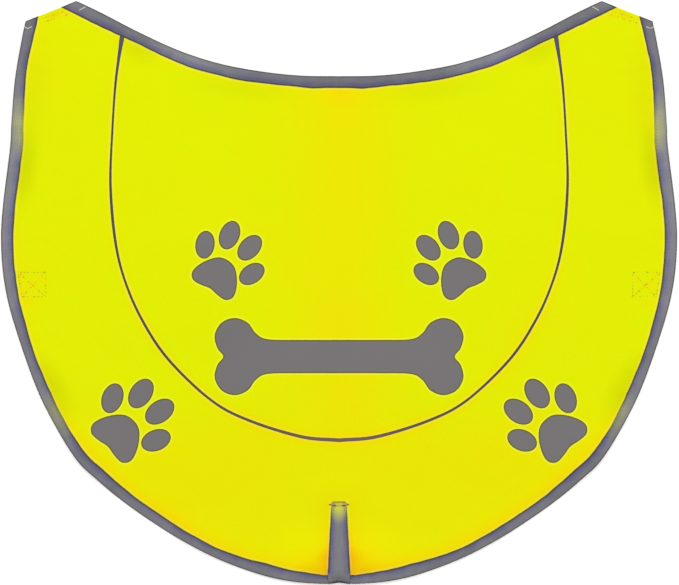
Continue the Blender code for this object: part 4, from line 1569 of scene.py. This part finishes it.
class VEST_OT_prints(bpy.types.Operator):
    """Press the paw prints and the bone onto the cloth."""

    bl_idname = "vest.prints"
    bl_label = "Press the prints"

    def execute(self, context):
        cloth, prints = settings()[0], settings()[3]
        film = film_material()

        def on_top(points):
            """Height of the underside of the film."""
            return lie(points) + cloth.thickness + FILM_GAP

        def rim(points):
            """How near the film's cut edge is."""
            return np.clip(2.0 - beside_prints(points) / 0.7, 0.0, 1.0)

        for name, outlines in print_outlines().items():
            rows = [offset(outline, past) for outline in outlines for past in (-1.4, -0.7, 0.7, 1.4)]
            made = layer(name, outlines, PRINT_STEP, on_top, prints.thickness, film, [("rim", rim)], rows)
            finish_piece(made)
        return {"FINISHED"}


def floor_material():
    """A pale matt floor that is clear from beneath, so that the underside of the vest can be seen."""
    made, tree, shader = plain_material("Pale floor", 0.9, 0.0)
    grain = node(tree, "ShaderNodeTexNoise", Scale=40.0).outputs["Fac"]
    finish_surface(shader, mix_colours(grain, (0.93, 0.93, 0.93), (0.94, 0.94, 0.94)))
    shader.inputs["Emission Color"].default_value = WHITE
    seen = tree.nodes.new("ShaderNodeLightPath").outputs["Is Camera Ray"]
    tree.links.new(plus(times(seen, -0.27), 0.45), shader.inputs["Emission Strength"])
    clear = tree.nodes.new("ShaderNodeBsdfTransparent")
    mix = tree.nodes.new("ShaderNodeMixShader")
    tree.links.new(tree.nodes.new("ShaderNodeNewGeometry").outputs["Backfacing"], mix.inputs["Fac"])
    tree.links.new(shader.outputs["BSDF"], mix.inputs[1])
    tree.links.new(clear.outputs["BSDF"], mix.inputs[2])
    tree.links.new(mix.outputs["Shader"], tree.nodes["Material Output"].inputs["Surface"])
    return made


class VEST_OT_stage(bpy.types.Operator):
    """Set the floor, the lights and the camera."""

    bl_idname = "vest.stage"
    bl_label = "Set the stage"

    def execute(self, context):
        stage = settings()[4]
        scene = context.scene
        scene.view_settings.view_transform = "Standard"
        scene.world = bpy.data.worlds.new("Studio")
        scene.world.use_nodes = True
        background = scene.world.node_tree.nodes["Background"]
        background.inputs["Color"].default_value = WHITE
        background.inputs["Strength"].default_value = stage.world

        mesh = bpy.data.meshes.new("floor")
        ways = ((-1, -1), (1, -1), (1, 1), (-1, 1))
        mesh.from_pydata([(x * FLOOR_HALF, y * FLOOR_HALF, 0) for x, y in ways], [], [(0, 1, 2, 3)])
        mesh.materials.append(floor_material())
        floor = new_object("floor", mesh)
        floor.location.z = -FLOOR_DROP

        light = bpy.data.lights.new("key", "AREA")
        light.shape = "DISK"
        light.size = LIGHT_WIDTH
        light.energy = stage.key
        key = new_object("key", light)
        key.location = LIGHT_PLACE
        key.rotation_euler = key.location.to_track_quat("Z", "Y").to_euler()

        lens = bpy.data.cameras.new("camera")
        lens.sensor_width = SENSOR
        lens.lens = SENSOR * stage.camera_height / stage.frame_width
        scene.camera = new_object("camera", lens)
        scene.camera.location = (CAMERA_X, 0.0, stage.camera_height * MM)
        return {"FINISHED"}


class VEST_PT_sidebar(bpy.types.Panel):
    """The steps of making the vest, in order."""

    bl_label = "Dog safety vest"
    bl_idname = "VEST_PT_sidebar"
    bl_space_type = "VIEW_3D"
    bl_region_type = "UI"
    bl_category = "Vest"

    def draw(self, context):
        for step in STEPS:
            self.layout.operator("vest." + step)


STEPS = ("panels", "piping", "bindings", "straps", "stitches", "prints", "stage")
GROUPS = (
    (VestCloth, "vest_cloth"), (VestTape, "vest_tape"), (VestSewing, "vest_sewing"),
    (VestPrints, "vest_prints"), (VestStage, "vest_stage"),
)
OTHERS = (
    VEST_OT_panels, VEST_OT_piping, VEST_OT_bindings, VEST_OT_straps, VEST_OT_stitches, VEST_OT_prints,
    VEST_OT_stage, VEST_PT_sidebar,
)


def register():
    for group, name in GROUPS:
        bpy.utils.register_class(group)
        setattr(bpy.types.Scene, name, PointerProperty(type=group))
    for made in OTHERS:
        bpy.utils.register_class(made)


def unregister():
    for made in reversed(OTHERS):
        bpy.utils.unregister_class(made)
    for group, name in reversed(GROUPS):
        delattr(bpy.types.Scene, name)
        bpy.utils.unregister_class(group)


def main():
    """Makes the whole vest and its stage."""
    register()
    for step in STEPS:
        getattr(bpy.ops.vest, step)()


if __name__ == "__main__":
    main()
